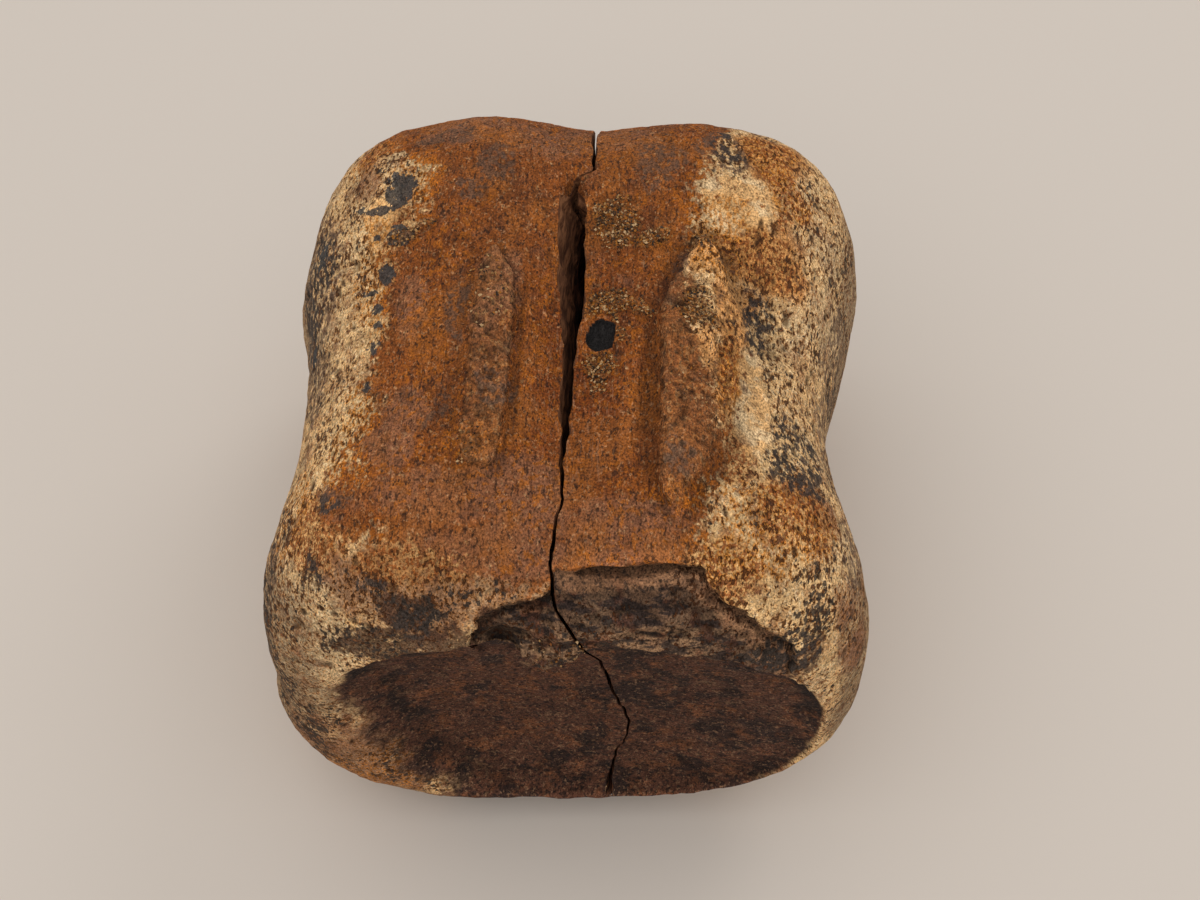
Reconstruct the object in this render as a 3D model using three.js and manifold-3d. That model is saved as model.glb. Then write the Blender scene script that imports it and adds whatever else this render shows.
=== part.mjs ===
// Fossil hadrosaur vertebra: the spool-shaped body of one tail bone, lying on its underside.
// X runs across the bone, Y along it from the near end face to the far one, and Z up.
// The origin is the middle of the bone's footprint, at the height of what it rests on.
import * as THREE from 'three';
import Module from 'manifold-3d';

// Driving dimensions of the whole bone, in millimetres. WORN_FLAT is how deep its lowest edges are worn
const LENGTH = 104.6;
const NEAR_WIDTH = 99.6;
const FAR_WIDTH = 96.8;
const HEIGHT = 80;
const NEAR_BASE_WIDTH = 90;
const FAR_BASE_WIDTH = 93;
const BASE_SHIFT = -3.5;
const WORN_FLAT = 2.2;

// How square each outline is: 2 is an ellipse, and a larger number has tighter corners
const NEAR_RIM_SQUARENESS = 5.4;
const FAR_RIM_SQUARENESS = 6;
const TOP_SQUARENESS = 3.25;
const BASE_SQUARENESS = 2.93;

// Where along Y the near end's widths pass over into the far end's
const CHANGEOVER = { from: -35, to: 35 };

// The waist between the two rims: how far each side is pinched in, and where along Y
const LEFT_WAIST = { pinch: 4.5, at: -9, reach: 40 };
const RIGHT_WAIST = { pinch: 7.3, at: -5, reach: 40 };
const TOP_WAIST = { pinch: 1.2, at: 0, reach: 40 };
const BASE_WAIST = { pinch: 7.2, at: 0, reach: 42 };

// The two end faces are shallow dishes inside broad rims. DISH_EDGE below 1 makes a dish's edge steeper
const NEAR_DISH = { x: 2, z: 40, halfWidth: 39, halfHeight: 29.5, depth: 8 };
const FAR_DISH = { x: 0, z: 41, halfWidth: 37, halfHeight: 28.5, depth: 7 };
const DISH_SQUARENESS = 2.3;
const DISH_EDGE = 0.8;

// On top: the floor of the nerve canal, the two scars where the arch stood, and a hollow beside one.
// This relief fades out where the skin turns down: from and to are sines of the turn, and margin is mm
const TOP_FADE = { from: 0.3, to: 0.62, margin: 4 };
const CANAL = { x: 1, halfWidth: 12, halfLength: 46, depth: 3.2 };
const LEFT_SCAR = { x: -13, near: -27, far: 19, fade: 8, width: 3.8, height: 1.3 };
const RIGHT_SCAR = { x: 22.5, bow: 5, near: -33, far: 21, fade: 9, width: 5, height: 3.2 };
const HOLLOW = { x: 30, y: 4, width: 4, length: 8, depth: 1.6 };

// The upper far rim starts at startY and lowZ, and has its full effect at fullY and fullZ. It slopes up
// towards the right by slope, and it dips where the crack crosses it
const FAR_RIM = { startY: 28, fullY: 44, lowZ: 42, fullZ: 72, slope: 0.022 };
const RIM_DIP = { x: 1.4, width: 12, depth: 1.8, setBack: 2 };

// The near rim has a broken recess. share is how far it goes back, and down, for its depth
const RECESS = { x: -9.5, y: -50, z: 70.5, radius: 4.2, depth: 2.4, share: 0.7 };

// Underneath: a shallow groove along the bone, and a near rim whose lower edge leans in
const BASE_GROOVE = { halfWidth: 15, halfLength: 34, depth: 2.2 };
const NEAR_LEAN = { height: 34, setBack: 2.1, from: -34, to: 6, startY: -30, fullY: -45 };

// The far rim swells a little on the left
const SWELLING = { y: 22, z: 42, length: 7, halfHeight: 30, out: 1.4 };

// The crack, from the far end to the near one: x is its middle, gap its width at the skin,
// (y, z) a place outside the skin, and (tipY, tipZ) where the crack ends inside the bone
const CRACK = [
  { x: 2.2, gap: 0.6, y: 58, z: 26, tipY: 47, tipZ: 27 },
  { x: 1.6, gap: 0.6, y: 58, z: 50, tipY: 40, tipZ: 40 },
  { x: 1.4, gap: 0.9, y: 58, z: 72, tipY: 36, tipZ: 47 },
  { x: 1.4, gap: 1.1, y: 50, z: 85, tipY: 33, tipZ: 48 },
  { x: 1.5, gap: 0.6, y: 38, z: 85, tipY: 30, tipZ: 48 },
  { x: 1.6, gap: 0.6, y: 30.8, z: 85, tipY: 28, tipZ: 47 },
  { x: -1.6, gap: 2.4, y: 29.2, z: 85, tipY: 26, tipZ: 45 },
  { x: -1.7, gap: 4.4, y: 25, z: 85, tipY: 23, tipZ: 42 },
  { x: -1.4, gap: 4.5, y: 15, z: 85, tipY: 14, tipZ: 38 },
  { x: -1.2, gap: 4.2, y: 5, z: 85, tipY: 5, tipZ: 36 },
  { x: -0.9, gap: 3.2, y: -5, z: 85, tipY: -4, tipZ: 36 },
  { x: -0.6, gap: 2.3, y: -14, z: 85, tipY: -12, tipZ: 37 },
  { x: -0.5, gap: 1.1, y: -21, z: 85, tipY: -18, tipZ: 37 },
  { x: -0.4, gap: 0.6, y: -26, z: 85, tipY: -22, tipZ: 36 },
  { x: -0.8, gap: 0.6, y: -35, z: 85, tipY: -27, tipZ: 35 },
  { x: -1.6, gap: 0.7, y: -40.5, z: 85, tipY: -29, tipZ: 34 },
  { x: -0.9, gap: 0.6, y: -50, z: 85, tipY: -31, tipZ: 33 },
  { x: 0.9, gap: 0.6, y: -58, z: 76, tipY: -32, tipZ: 32 },
  { x: 4.3, gap: 0.6, y: -58, z: 68, tipY: -33, tipZ: 31 },
  { x: 6.8, gap: 0.6, y: -58, z: 66, tipY: -33.5, tipZ: 30 },
  { x: 8.4, gap: 0.6, y: -58, z: 58.8, tipY: -34, tipZ: 29 },
  { x: 10.6, gap: 0.6, y: -58, z: 49.4, tipY: -35, tipZ: 27 },
  { x: 10.2, gap: 0.5, y: -58, z: 43, tipY: -36, tipZ: 25 },
  { x: 8.4, gap: 0.6, y: -58, z: 32, tipY: -38, tipZ: 21 },
  { x: 7.6, gap: 0.9, y: -58, z: 20, tipY: -41, tipZ: 15 },
  { x: 7.4, gap: 1.6, y: -58, z: 4, tipY: -47, tipZ: 6 },
];
const CRACK_TIP_GAP = 0.24;

// How finely the skin is divided: strips from face to face, and points round each strip
const RINGS = 46;
const SIDES = 78;
const TOP_CROWDING = 0.34;

// Rises smoothly from 0 to 1 as value goes from one place to another, either way along the axis
function smooth(from, to, value) {
  const t = THREE.MathUtils.clamp((value - from) / (to - from), 0, 1);
  return t * t * (3 - 2 * t);
}

// A hump that is 1 at the middle and falls smoothly to 0 at a distance of reach
function hump(distance, reach) {
  const t = THREE.MathUtils.clamp(distance / reach, -1, 1);
  return Math.cos((t * Math.PI) / 2) ** 2;
}

function bell(distance, width) {
  return Math.exp(-((distance / width) ** 2));
}

// Radius, along a direction, of an oval whose squareness is that of a superellipse
function ovalRadius(cosine, sine, halfWidth, halfHeight, squareness) {
  const a = Math.abs(cosine / halfWidth) ** squareness;
  const b = Math.abs(sine / halfHeight) ** squareness;
  return (a + b) ** (-1 / squareness);
}

// One point of the plain spool. turn goes round the Y axis; tilt goes from the near pole to the far one
function spoolPoint(turn, tilt) {
  const squareness = tilt < 0 ? NEAR_RIM_SQUARENESS : FAR_RIM_SQUARENESS;
  const reach = ovalRadius(Math.cos(tilt), Math.sin(tilt), 1, 1, squareness);
  const share = reach * Math.cos(tilt);
  const y = (reach * Math.sin(tilt) * LENGTH) / 2;
  const along = smooth(CHANGEOVER.from, CHANGEOVER.to, y);
  const halfWidth = THREE.MathUtils.lerp(NEAR_WIDTH, FAR_WIDTH, along) / 2;
  const halfBase = THREE.MathUtils.lerp(NEAR_BASE_WIDTH, FAR_BASE_WIDTH, along) / 2;
  const halfHeight = (HEIGHT + WORN_FLAT) / 2;
  const above = Math.sin(turn) > 0;
  const square = above ? TOP_SQUARENESS : BASE_SQUARENESS;
  const radius = share * ovalRadius(Math.cos(turn), Math.sin(turn), halfWidth, halfHeight, square);
  let x = radius * Math.cos(turn);
  let z = radius * Math.sin(turn);
  const side = x < 0 ? LEFT_WAIST : RIGHT_WAIST;
  const cap = above ? TOP_WAIST : BASE_WAIST;
  x *= 1 - (side.pinch / halfWidth) * hump(y - side.at, side.reach);
  z *= 1 - (cap.pinch / halfHeight) * hump(y - cap.at, cap.reach);
  const under = THREE.MathUtils.clamp(-z / halfHeight, 0, 1);
  x *= 1 - under ** 2 * (1 - halfBase / halfWidth);
  x += BASE_SHIFT * under;
  return new THREE.Vector3(x, y, z + halfHeight - WORN_FLAT);
}

// How far an end face is dished at a point
function dishDepth(point, dish) {
  const across = Math.abs((point.x - dish.x) / dish.halfWidth) ** DISH_SQUARENESS;
  const upward = Math.abs((point.z - dish.z) / dish.halfHeight) ** DISH_SQUARENESS;
  return dish.depth * Math.max(0, 1 - across - upward) ** DISH_EDGE;
}

// 1 along a scar, falling to 0 over a length of fade at its near and far ends
function alongScar(scar, y) {
  return smooth(scar.near, scar.near + scar.fade, y) * smooth(scar.far, scar.far - scar.fade, y);
}

// How much the top stands above or below the plain spool at a place in plan
function topRelief(x, y) {
  const trough = hump(x - CANAL.x, CANAL.halfWidth) * hump(y, CANAL.halfLength);
  const middle = (RIGHT_SCAR.near + RIGHT_SCAR.far) / 2;
  const crest = RIGHT_SCAR.x - RIGHT_SCAR.bow * ((y - middle) / (RIGHT_SCAR.far - middle)) ** 2;
  const left = LEFT_SCAR.height * alongScar(LEFT_SCAR, y) * bell(x - LEFT_SCAR.x, LEFT_SCAR.width);
  const right = RIGHT_SCAR.height * alongScar(RIGHT_SCAR, y) * bell(x - crest, RIGHT_SCAR.width);
  const hollow = HOLLOW.depth * bell(x - HOLLOW.x, HOLLOW.width) * bell(y - HOLLOW.y, HOLLOW.length);
  return left + right - CANAL.depth * trough - hollow;
}

// The spool with its dishes, canal, scars, recess and worn underside
function bonePoint(turn, tilt) {
  const point = spoolPoint(turn, tilt);
  const side = Math.sin(turn);
  const end = LENGTH / 2;
  const awayFromEnd = smooth(end, end - TOP_FADE.margin, Math.abs(point.y));
  const onTop = smooth(TOP_FADE.from, TOP_FADE.to, side) * awayFromEnd;
  const groove = hump(point.x, BASE_GROOVE.halfWidth) * hump(point.y, BASE_GROOVE.halfLength);
  const { startY, fullY, lowZ, fullZ, slope } = FAR_RIM;
  const onFarRim = smooth(startY, fullY, point.y) * smooth(lowZ, fullZ, point.z);
  const rimDip = bell(point.x - RIM_DIP.x, RIM_DIP.width) * onFarRim;
  point.z += topRelief(point.x, point.y) * onTop - RIM_DIP.depth * rimDip;
  point.z += slope * point.x * onFarRim;
  if (side < 0) point.z += BASE_GROOVE.depth * groove;
  if (point.y < -LENGTH / 3) point.y += dishDepth(point, NEAR_DISH);
  if (point.y > LENGTH / 3) point.y -= dishDepth(point, FAR_DISH);
  point.y -= RIM_DIP.setBack * rimDip;
  const atNearEnd = smooth(NEAR_LEAN.startY, NEAR_LEAN.fullY, point.y);
  const lean = smooth(NEAR_LEAN.height, 0, point.z) * atNearEnd;
  point.y += NEAR_LEAN.setBack * lean * smooth(NEAR_LEAN.from, NEAR_LEAN.to, point.x);
  const swollen = SWELLING.out * bell(point.y - SWELLING.y, SWELLING.length);
  const atSide = Math.max(0, -Math.cos(turn)) * hump(point.z - SWELLING.z, SWELLING.halfHeight);
  point.x -= swollen * atSide;
  const away = Math.hypot(point.x - RECESS.x, point.y - RECESS.y, point.z - RECESS.z);
  const broken = RECESS.depth * bell(away, RECESS.radius);
  point.y += broken * RECESS.share;
  point.z -= broken * RECESS.share;
  point.z = Math.max(point.z, 0);
  return point;
}

// A closed skin of triangles, from rings of points and one point at each pole
function closedSkin(rings, nearPole, farPole) {
  const sides = rings[0].length;
  const points = [nearPole, ...rings.flat(), farPole];
  const last = points.length - 1;
  const triangles = [];
  for (let s = 0; s < sides; s += 1) {
    const next = (s + 1) % sides;
    triangles.push(0, 1 + s, 1 + next);
    for (let r = 0; r < rings.length - 1; r += 1) {
      const here = 1 + r * sides;
      const beyond = here + sides;
      triangles.push(here + s, beyond + s, beyond + next);
      triangles.push(here + s, beyond + next, here + next);
    }
    const end = 1 + (rings.length - 1) * sides;
    triangles.push(last, end + next, end + s);
  }
  return skinGeometry(points, triangles);
}

function skinGeometry(points, triangles) {
  const geometry = new THREE.BufferGeometry();
  geometry.setAttribute('position', new THREE.Float32BufferAttribute(points.flatMap((p) => p.toArray()), 3));
  geometry.setIndex(triangles);
  return geometry;
}

function boneSkin() {
  const rings = [];
  for (let r = 1; r < RINGS; r += 1) {
    const tilt = -Math.PI / 2 + (Math.PI * r) / RINGS;
    const ring = [];
    for (let s = 0; s < SIDES; s += 1) {
      const even = (2 * Math.PI * s) / SIDES;
      ring.push(bonePoint(even + TOP_CROWDING * Math.cos(even), tilt));
    }
    rings.push(ring);
  }
  return closedSkin(rings, bonePoint(0, -Math.PI / 2), bonePoint(0, Math.PI / 2));
}

// The empty space of the crack: a thin wedge whose edge follows the stations above
function crackSkin() {
  const points = [];
  const triangles = [];
  for (const station of CRACK) {
    points.push(new THREE.Vector3(station.x - station.gap / 2, station.y, station.z));
    points.push(new THREE.Vector3(station.x + station.gap / 2, station.y, station.z));
    points.push(new THREE.Vector3(station.x + CRACK_TIP_GAP / 2, station.tipY, station.tipZ));
    points.push(new THREE.Vector3(station.x - CRACK_TIP_GAP / 2, station.tipY, station.tipZ));
  }
  for (let i = 0; i < CRACK.length - 1; i += 1) {
    for (let k = 0; k < 4; k += 1) {
      const a = 4 * i + k;
      const b = 4 * i + ((k + 1) % 4);
      triangles.push(a, b + 4, b, a, a + 4, b + 4);
    }
  }
  const end = 4 * (CRACK.length - 1);
  triangles.push(0, 1, 2, 0, 2, 3);
  triangles.push(end, end + 2, end + 1, end, end + 3, end + 2);
  return skinGeometry(points, triangles);
}

const wasm = await Module();
wasm.setup();

function solidOf(geometry) {
  const vertProperties = Float32Array.from(geometry.getAttribute('position').array);
  const triVerts = Uint32Array.from(geometry.getIndex().array);
  return new wasm.Manifold(new wasm.Mesh({ numProp: 3, vertProperties, triVerts }));
}

function geometryOf(solid) {
  const mesh = solid.getMesh();
  const geometry = new THREE.BufferGeometry();
  geometry.setAttribute('position', new THREE.BufferAttribute(Float32Array.from(mesh.vertProperties), 3));
  geometry.setIndex(Array.from(mesh.triVerts));
  return geometry;
}

// Moves the bone so that the origin is under the middle of its footprint
function centreOverOrigin(geometry) {
  geometry.computeBoundingBox();
  const { min, max } = geometry.boundingBox;
  geometry.translate(-(min.x + max.x) / 2, -(min.y + max.y) / 2, -min.z);
  geometry.computeVertexNormals();
  return geometry;
}

const fossilBone = new THREE.MeshStandardMaterial({ color: '#8a5a36', roughness: 0.82, metalness: 0 });

const cracked = solidOf(boneSkin()).subtract(solidOf(crackSkin()));
const vertebra = new THREE.Mesh(centreOverOrigin(geometryOf(cracked)), fossilBone);
vertebra.name = 'vertebra';

const bone = new THREE.Group();
bone.add(vertebra);

export default bone;
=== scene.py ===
# %% [markdown]
# # A fossil hadrosaur vertebra
# The real thing is the spool-shaped body of one tail bone, turned to stone and stained by iron.
# It has one deep crack, two rough scars where its arch broke off, and a broken near rim.
# Everything here is worked out in millimetres, in the CAD part's own directions: X across the
# bone, Y along it from the near face to the far one, and Z up. It turns to metres at the end.

# %% Load the frame
import bpy
import numpy as np
from mathutils import Matrix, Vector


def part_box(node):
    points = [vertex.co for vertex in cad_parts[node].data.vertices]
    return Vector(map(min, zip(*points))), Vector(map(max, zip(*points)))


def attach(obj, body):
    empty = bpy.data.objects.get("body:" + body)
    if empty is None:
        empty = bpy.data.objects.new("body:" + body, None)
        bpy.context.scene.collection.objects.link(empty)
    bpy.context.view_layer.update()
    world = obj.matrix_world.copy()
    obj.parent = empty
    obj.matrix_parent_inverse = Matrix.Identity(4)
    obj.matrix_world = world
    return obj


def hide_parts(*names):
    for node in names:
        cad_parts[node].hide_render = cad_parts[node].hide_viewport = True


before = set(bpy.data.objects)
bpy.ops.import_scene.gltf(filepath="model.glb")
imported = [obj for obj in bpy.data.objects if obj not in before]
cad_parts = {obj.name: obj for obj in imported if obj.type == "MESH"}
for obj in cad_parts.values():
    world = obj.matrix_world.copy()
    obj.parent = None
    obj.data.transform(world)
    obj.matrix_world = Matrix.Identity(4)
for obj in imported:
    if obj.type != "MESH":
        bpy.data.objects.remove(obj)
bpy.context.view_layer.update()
MM = 0.001
cad_low, cad_high = (np.array(corner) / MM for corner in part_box("vertebra"))
print("CAD vertebra, mm:", np.round(cad_high - cad_low, 1))

# %% [markdown]
# ## Small curves that every shape below uses
# A bone has no straight edges, so its form is sums of soft steps, humps and bells. They could be
# brush strokes in sculpt mode; as formulas they give the same bone on every run.

# %% Steps, humps and bells


def smooth(start, stop, value):
    """0 at start and 1 at stop, easing in and out between them. It also runs downwards."""
    t = np.clip((value - start) / (stop - start), 0, 1)
    return t * t * (3 - 2 * t)


def hump(distance, reach):
    """1 in the middle, falling like a squared cosine to 0 at the distance reach."""
    return np.cos(np.clip(distance / reach, -1, 1) * np.pi / 2) ** 2


def bell(distance, width):
    """1 in the middle, with the bell curve's soft tails; width is where it is down to a third."""
    return np.exp(-((distance / width) ** 2))


def steps(*rows):
    """Soft steps multiplied. A row is what is measured, and its values where the step is 0 and 1."""
    return np.prod([smooth(start, stop, value) for value, start, stop in rows], axis=0)


print("half way up a step:", smooth(0, 1, 0.5))

# %% [markdown]
# ## Natural unevenness
# Weathered bone is rough at every scale. Blender's noise textures can't be read by numpy, so this cell
# makes a lattice noise: random numbers at the corners of a grid of cubes, blended inside each one.
# Pits are made in the same way, with one round hollow somewhere in each cube.

# %% Lattice noise and pits
CELL_FACTORS = np.array([73856093, 19349663, 83492791])  # large numbers without common factors
SEED_FACTOR = 668265263
MIX_ROUNDS = [(15, 2246822519), (13, 3266489917)]
LOW_32_BITS, LOW_16_BITS = 0xFFFFFFFF, 0xFFFF


def scramble(cell, seed):
    """A repeatable number from 0 to 1 for each whole-numbered cell: its digits are multiplied and mixed."""
    mixed = np.bitwise_xor.reduce(cell * CELL_FACTORS, axis=-1) ^ (seed * SEED_FACTOR)
    for places, factor in MIX_ROUNDS:
        mixed = mixed & LOW_32_BITS
        mixed = (mixed ^ (mixed >> places)) * factor
    mixed = mixed & LOW_32_BITS
    return ((mixed ^ (mixed >> 16)) & LOW_16_BITS) / LOW_16_BITS


def lattice_noise(points, grain, seed):
    """Random values on cubes of side grain, blended smoothly inside each cube. It runs from -1 to 1."""
    place = points / grain
    corner = np.floor(place).astype(np.int64)
    ease = smooth(0, 1, place - corner)
    total = np.zeros(points.shape[:-1])
    for step in np.ndindex(2, 2, 2):
        weight = np.prod(np.where(np.array(step), ease, 1 - ease), axis=-1)
        total += weight * (2 * scramble(corner + np.array(step), seed) - 1)
    return total


def rough(points, grain, octaves, seed):
    """Lattice noise plus finer copies of itself, each half as large and half as strong."""
    layers = [lattice_noise(points, grain / 2**n, seed + n) / 2**n for n in range(octaves)]
    return sum(layers)


def pits(points, cell, radius, share, seed):
    """One round hollow in each cell that share lets have one. 1 at a hollow's middle, 0 outside all."""
    place = points / cell
    home = np.floor(place).astype(np.int64)
    deepest = np.zeros(points.shape[:-1])
    for step in np.ndindex(3, 3, 3):
        near = home + np.array(step) - 1
        middle = near + np.stack([scramble(near, seed + k) for k in range(3)], -1)
        size = radius / cell * (0.5 + 0.5 * scramble(near, seed + 3))
        away = np.linalg.norm(place - middle, axis=-1) / size
        there = scramble(near, seed + 4) < share
        deepest = np.maximum(deepest, np.where(there, smooth(1, 0.2, away), 0))
    return deepest


print("noise at one place:", lattice_noise(np.array([[1.0, 2.0, 3.0]]), 5, 1).round(3))

# %% [markdown]
# ## The spool
# A tail vertebra's body is an hourglass between two broad rims. A turned profile would give a round
# bone, and this one is a rounded box in section. So the shape is a function of two angles: turn
# goes round the bone and tilt goes from the near end's pole over the side to the far one.

# %% The plain spool
LENGTH = 104.6
NEAR_WIDTH, FAR_WIDTH = 99.6, 96.8
NEAR_BASE_WIDTH, FAR_BASE_WIDTH = 90, 93
HEIGHT = 80
BASE_SHIFT = -3.5
TAPER_Y = (-35, 35)  # between these, the near end's widths turn into the far end's
WORN_FLAT = 2.2
NEAR_RIM_SQUARENESS, FAR_RIM_SQUARENESS = 5.4, 6
TOP_SQUARENESS, BASE_SQUARENESS = 3.25, 2.93
WAISTS = {  # side: how many mm it is pinched in, where along the bone, and how far that reaches
    "left": (4.5, -9, 40), "right": (7.3, -5, 40), "top": (1.2, 0, 40), "base": (7.2, 0, 42),
}


def oval_radius(cosine, sine, half_width, half_height, squareness):
    """Distance from the middle of a superellipse to its edge, along the direction (cosine, sine)."""
    across = np.abs(cosine / half_width) ** squareness
    upward = np.abs(sine / half_height) ** squareness
    return (across + upward) ** (-1 / squareness)


def spool(turn, tilt):
    """A superellipse profile from pole to pole, swept round a superellipse section, pinched at the waist."""
    squareness = np.where(tilt < 0, NEAR_RIM_SQUARENESS, FAR_RIM_SQUARENESS)
    reach = oval_radius(np.cos(tilt), np.sin(tilt), 1, 1, squareness)
    y = reach * np.sin(tilt) * LENGTH / 2
    along = smooth(*TAPER_Y, y)
    half_width = (NEAR_WIDTH + (FAR_WIDTH - NEAR_WIDTH) * along) / 2
    half_base = (NEAR_BASE_WIDTH + (FAR_BASE_WIDTH - NEAR_BASE_WIDTH) * along) / 2
    half_height = (HEIGHT + WORN_FLAT) / 2
    above = np.sin(turn) > 0
    square = np.where(above, TOP_SQUARENESS, BASE_SQUARENESS)
    section = oval_radius(np.cos(turn), np.sin(turn), half_width, half_height, square)
    radius = reach * np.cos(tilt) * section
    x, z = radius * np.cos(turn), radius * np.sin(turn)
    pinch = {side: depth * hump(y - at, length) for side, (depth, at, length) in WAISTS.items()}
    x *= 1 - np.where(x < 0, pinch["left"], pinch["right"]) / half_width
    z *= 1 - np.where(above, pinch["top"], pinch["base"]) / half_height
    under = np.clip(-z / half_height, 0, 1)
    x = x * (1 - under**2 * (1 - half_base / half_width)) + BASE_SHIFT * under
    return x, y, z + half_height - WORN_FLAT


# %% [markdown]
# ## Where the points go
# The top is what one looks at most, so its points are the closest, about half a millimetre apart.
# On the near face they are about one apart. Even steps of the angle would crowd the middles of the
# faces, so each stretch takes even steps of its tangent, and the turn is eased towards the top.

# %% A grid of turns and tilts
SIDES = 300
NEAR_FACE_RINGS, SIDE_RINGS, FAR_FACE_RINGS = 54, 198, 36
TOP_CROWDING = 0.5


def even_tilts(near_rings, side_rings, far_rings):
    """Tilts whose tangents step evenly on the near face, then the side, then the far face."""
    quarter = np.pi / 2
    near = np.arctan(np.arange(1, near_rings) / near_rings) - quarter
    side = np.arctan(np.linspace(-1, 1, side_rings))
    far = quarter - np.arctan(np.arange(1, far_rings) / far_rings)[::-1]
    return np.concatenate([near, side, far])


even_turn = np.arange(SIDES) / SIDES * 2 * np.pi
turns = even_turn + TOP_CROWDING * np.cos(even_turn)
tilts = even_tilts(NEAR_FACE_RINGS, SIDE_RINGS, FAR_FACE_RINGS)
turn, tilt = np.meshgrid(turns, tilts)
pole_tilts = np.array([-np.pi / 2, np.pi / 2])
turn = np.concatenate([turn.ravel(), np.zeros(2)])
tilt = np.concatenate([tilt.ravel(), pole_tilts])
x, y, z = spool(turn, tilt)
print("grid:", len(tilts), "rings of", SIDES, "points")

# %% [markdown]
# ## The broad forms
# On top are the floor of the nerve canal, the two scars of the arch and a hollow beside one. Both
# ends are dished inside their rims. These are the same forms as the CAD part has, with the crisper
# edges of the real bone: the left scar ends in a step, and the near dish has a sharp upper edge.
# Sizes are in mm; a scar is two edge lines, left and right, given at places along Y.

# %% Canal, scars and dishes
CANAL = {"x": 1, "half_width": 12, "half_length": 46, "depth": 3.2}
LEFT_SCAR = {
    "y": [-29, -26, -20, -10, 0, 8, 13, 18],
    "left": [-15, -17.2, -17.8, -17.6, -17.4, -17.2, -16.4, -14.6],
    "right": [-12, -9.6, -9, -9, -9, -9.3, -11.3, -13.6],
    "rise": 3.4, "fall": [1.3] * 8, "height": 1.2, "fade": 6,
}
RIGHT_SCAR = {
    "y": [-35, -30, -26, -18, -10, -5, 0, 4, 10, 15, 20],
    "left": [16, 13.6, 12.9, 12.7, 12.6, 12.6, 12.4, 12.4, 14.2, 16.6, 18.4],
    "right": [18, 20.5, 23, 26, 27, 27, 27.5, 27.5, 25, 22.8, 20.6],
    "rise": 1.9, "fall": [8] * 8 + [3, 1.4, 1.2], "height": 2.9, "fade": 5,
}
GROOVES = [(11.3, -10, 1.6, 26, 1.1), (-8.4, -5, 0.6, 22, 0.5)]  # x, y, width, half length, depth
# The knuckle and the notch are on the right scar. Each row: x, y, width across, width along, height.
KNUCKLE, NOTCH, HOLLOW = (19.5, -3.5, 3.4, 3.6, 0.9), (15.5, 4, 3.2, 2.2, -1.1), (30, 4, 4, 8, -1.6)
NEAR_DISH = {"x": 2, "z": 40, "half_width": 39, "half_height": 29.2, "depth": 8, "steep": 0.62}
FAR_DISH = {"x": 0, "z": 41, "half_width": 37, "half_height": 28.5, "depth": 7, "steep": 0.8}
DISH_SQUARENESS = 2.6


def scar_share(scar, x, y):
    """1 on a scar: a lens between two edge lines, rising over one width and falling over others."""
    left, right, fall = (np.interp(y, scar["y"], scar[key]) for key in ("left", "right", "fall"))
    first, last, fade = scar["y"][0], scar["y"][-1], scar["fade"]
    ends = smooth(first, first + fade, y) * smooth(last, last - fade, y)
    rise, fall = np.minimum(scar["rise"], right - left), np.minimum(fall, right - left)
    return smooth(left, left + rise, x) * smooth(right, right - fall, x) * ends


def bump_at(x, y, x0, y0, across, along, height):
    """A bell-shaped lump, or a dent below 0, with one width across the bone and another along it."""
    return height * bell(x - x0, across) * bell(y - y0, along)


def top_relief(x, y):
    """Height above the plain spool: two scars with their bumps, less the canal, grooves and hollow."""
    trough = CANAL["depth"] * hump(x - CANAL["x"], CANAL["half_width"]) * hump(y, CANAL["half_length"])
    scars = sum(scar["height"] * scar_share(scar, x, y) for scar in (LEFT_SCAR, RIGHT_SCAR))
    bumps = sum(bump_at(x, y, *bump) for bump in (KNUCKLE, NOTCH, HOLLOW))
    grooves = 0
    for x0, y0, width, half_length, depth in GROOVES:
        grooves = grooves + depth * bell(x - x0, width) * hump(y - y0, half_length)
    return scars + bumps - trough - grooves


def dish_depth(x, z, dish, tongue=0):
    """A superellipse bowl: full depth in the middle, 0 at its edge. steep below 1 makes the edge crisp."""
    across = np.abs((x - dish["x"]) / dish["half_width"]) ** DISH_SQUARENESS
    upward = np.abs((z - dish["z"]) / dish["half_height"]) ** DISH_SQUARENESS
    return dish["depth"] * np.maximum(0, 1 - across - upward - tongue) ** dish["steep"]


print("right scar and canal floor, mm above the spool:", *np.round([top_relief(22, -8), top_relief(1, 0)], 1))

# %% Raise the top, and hollow the base
RIM_DIP = {"x": 1.4, "width": 12, "depth": 1.8, "set_back": 2}
FAR_SLOPE = 0.022
BASE_GROOVE = {"half_width": 15, "half_length": 34, "depth": 2.2}
side = np.sin(turn)
on_top = steps((side, 0.3, 0.62), (np.abs(y), LENGTH / 2, LENGTH / 2 - 4))
on_far_rim = steps((y, 28, 44), (z, 42, 72))
rim_dip = bell(x - RIM_DIP["x"], RIM_DIP["width"]) * on_far_rim
z = z + top_relief(x, y) * on_top - RIM_DIP["depth"] * rim_dip + FAR_SLOPE * x * on_far_rim
groove = hump(x, BASE_GROOVE["half_width"]) * hump(y, BASE_GROOVE["half_length"])
z = z + np.where(side < 0, BASE_GROOVE["depth"] * groove, 0)
print("top of the bone, mm:", z.max().round(1))

# %% [markdown]
# ## The broken near rim
# Flakes have come off the near rim: right of the crack the outer plate ends at a ledge, and left of
# it a block has dropped a little and left a dark hole. A tongue of the block hangs over the dish.
# A boolean cut would leave clean walls. Lowering the skin past a ragged ledge line looks torn.

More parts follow.
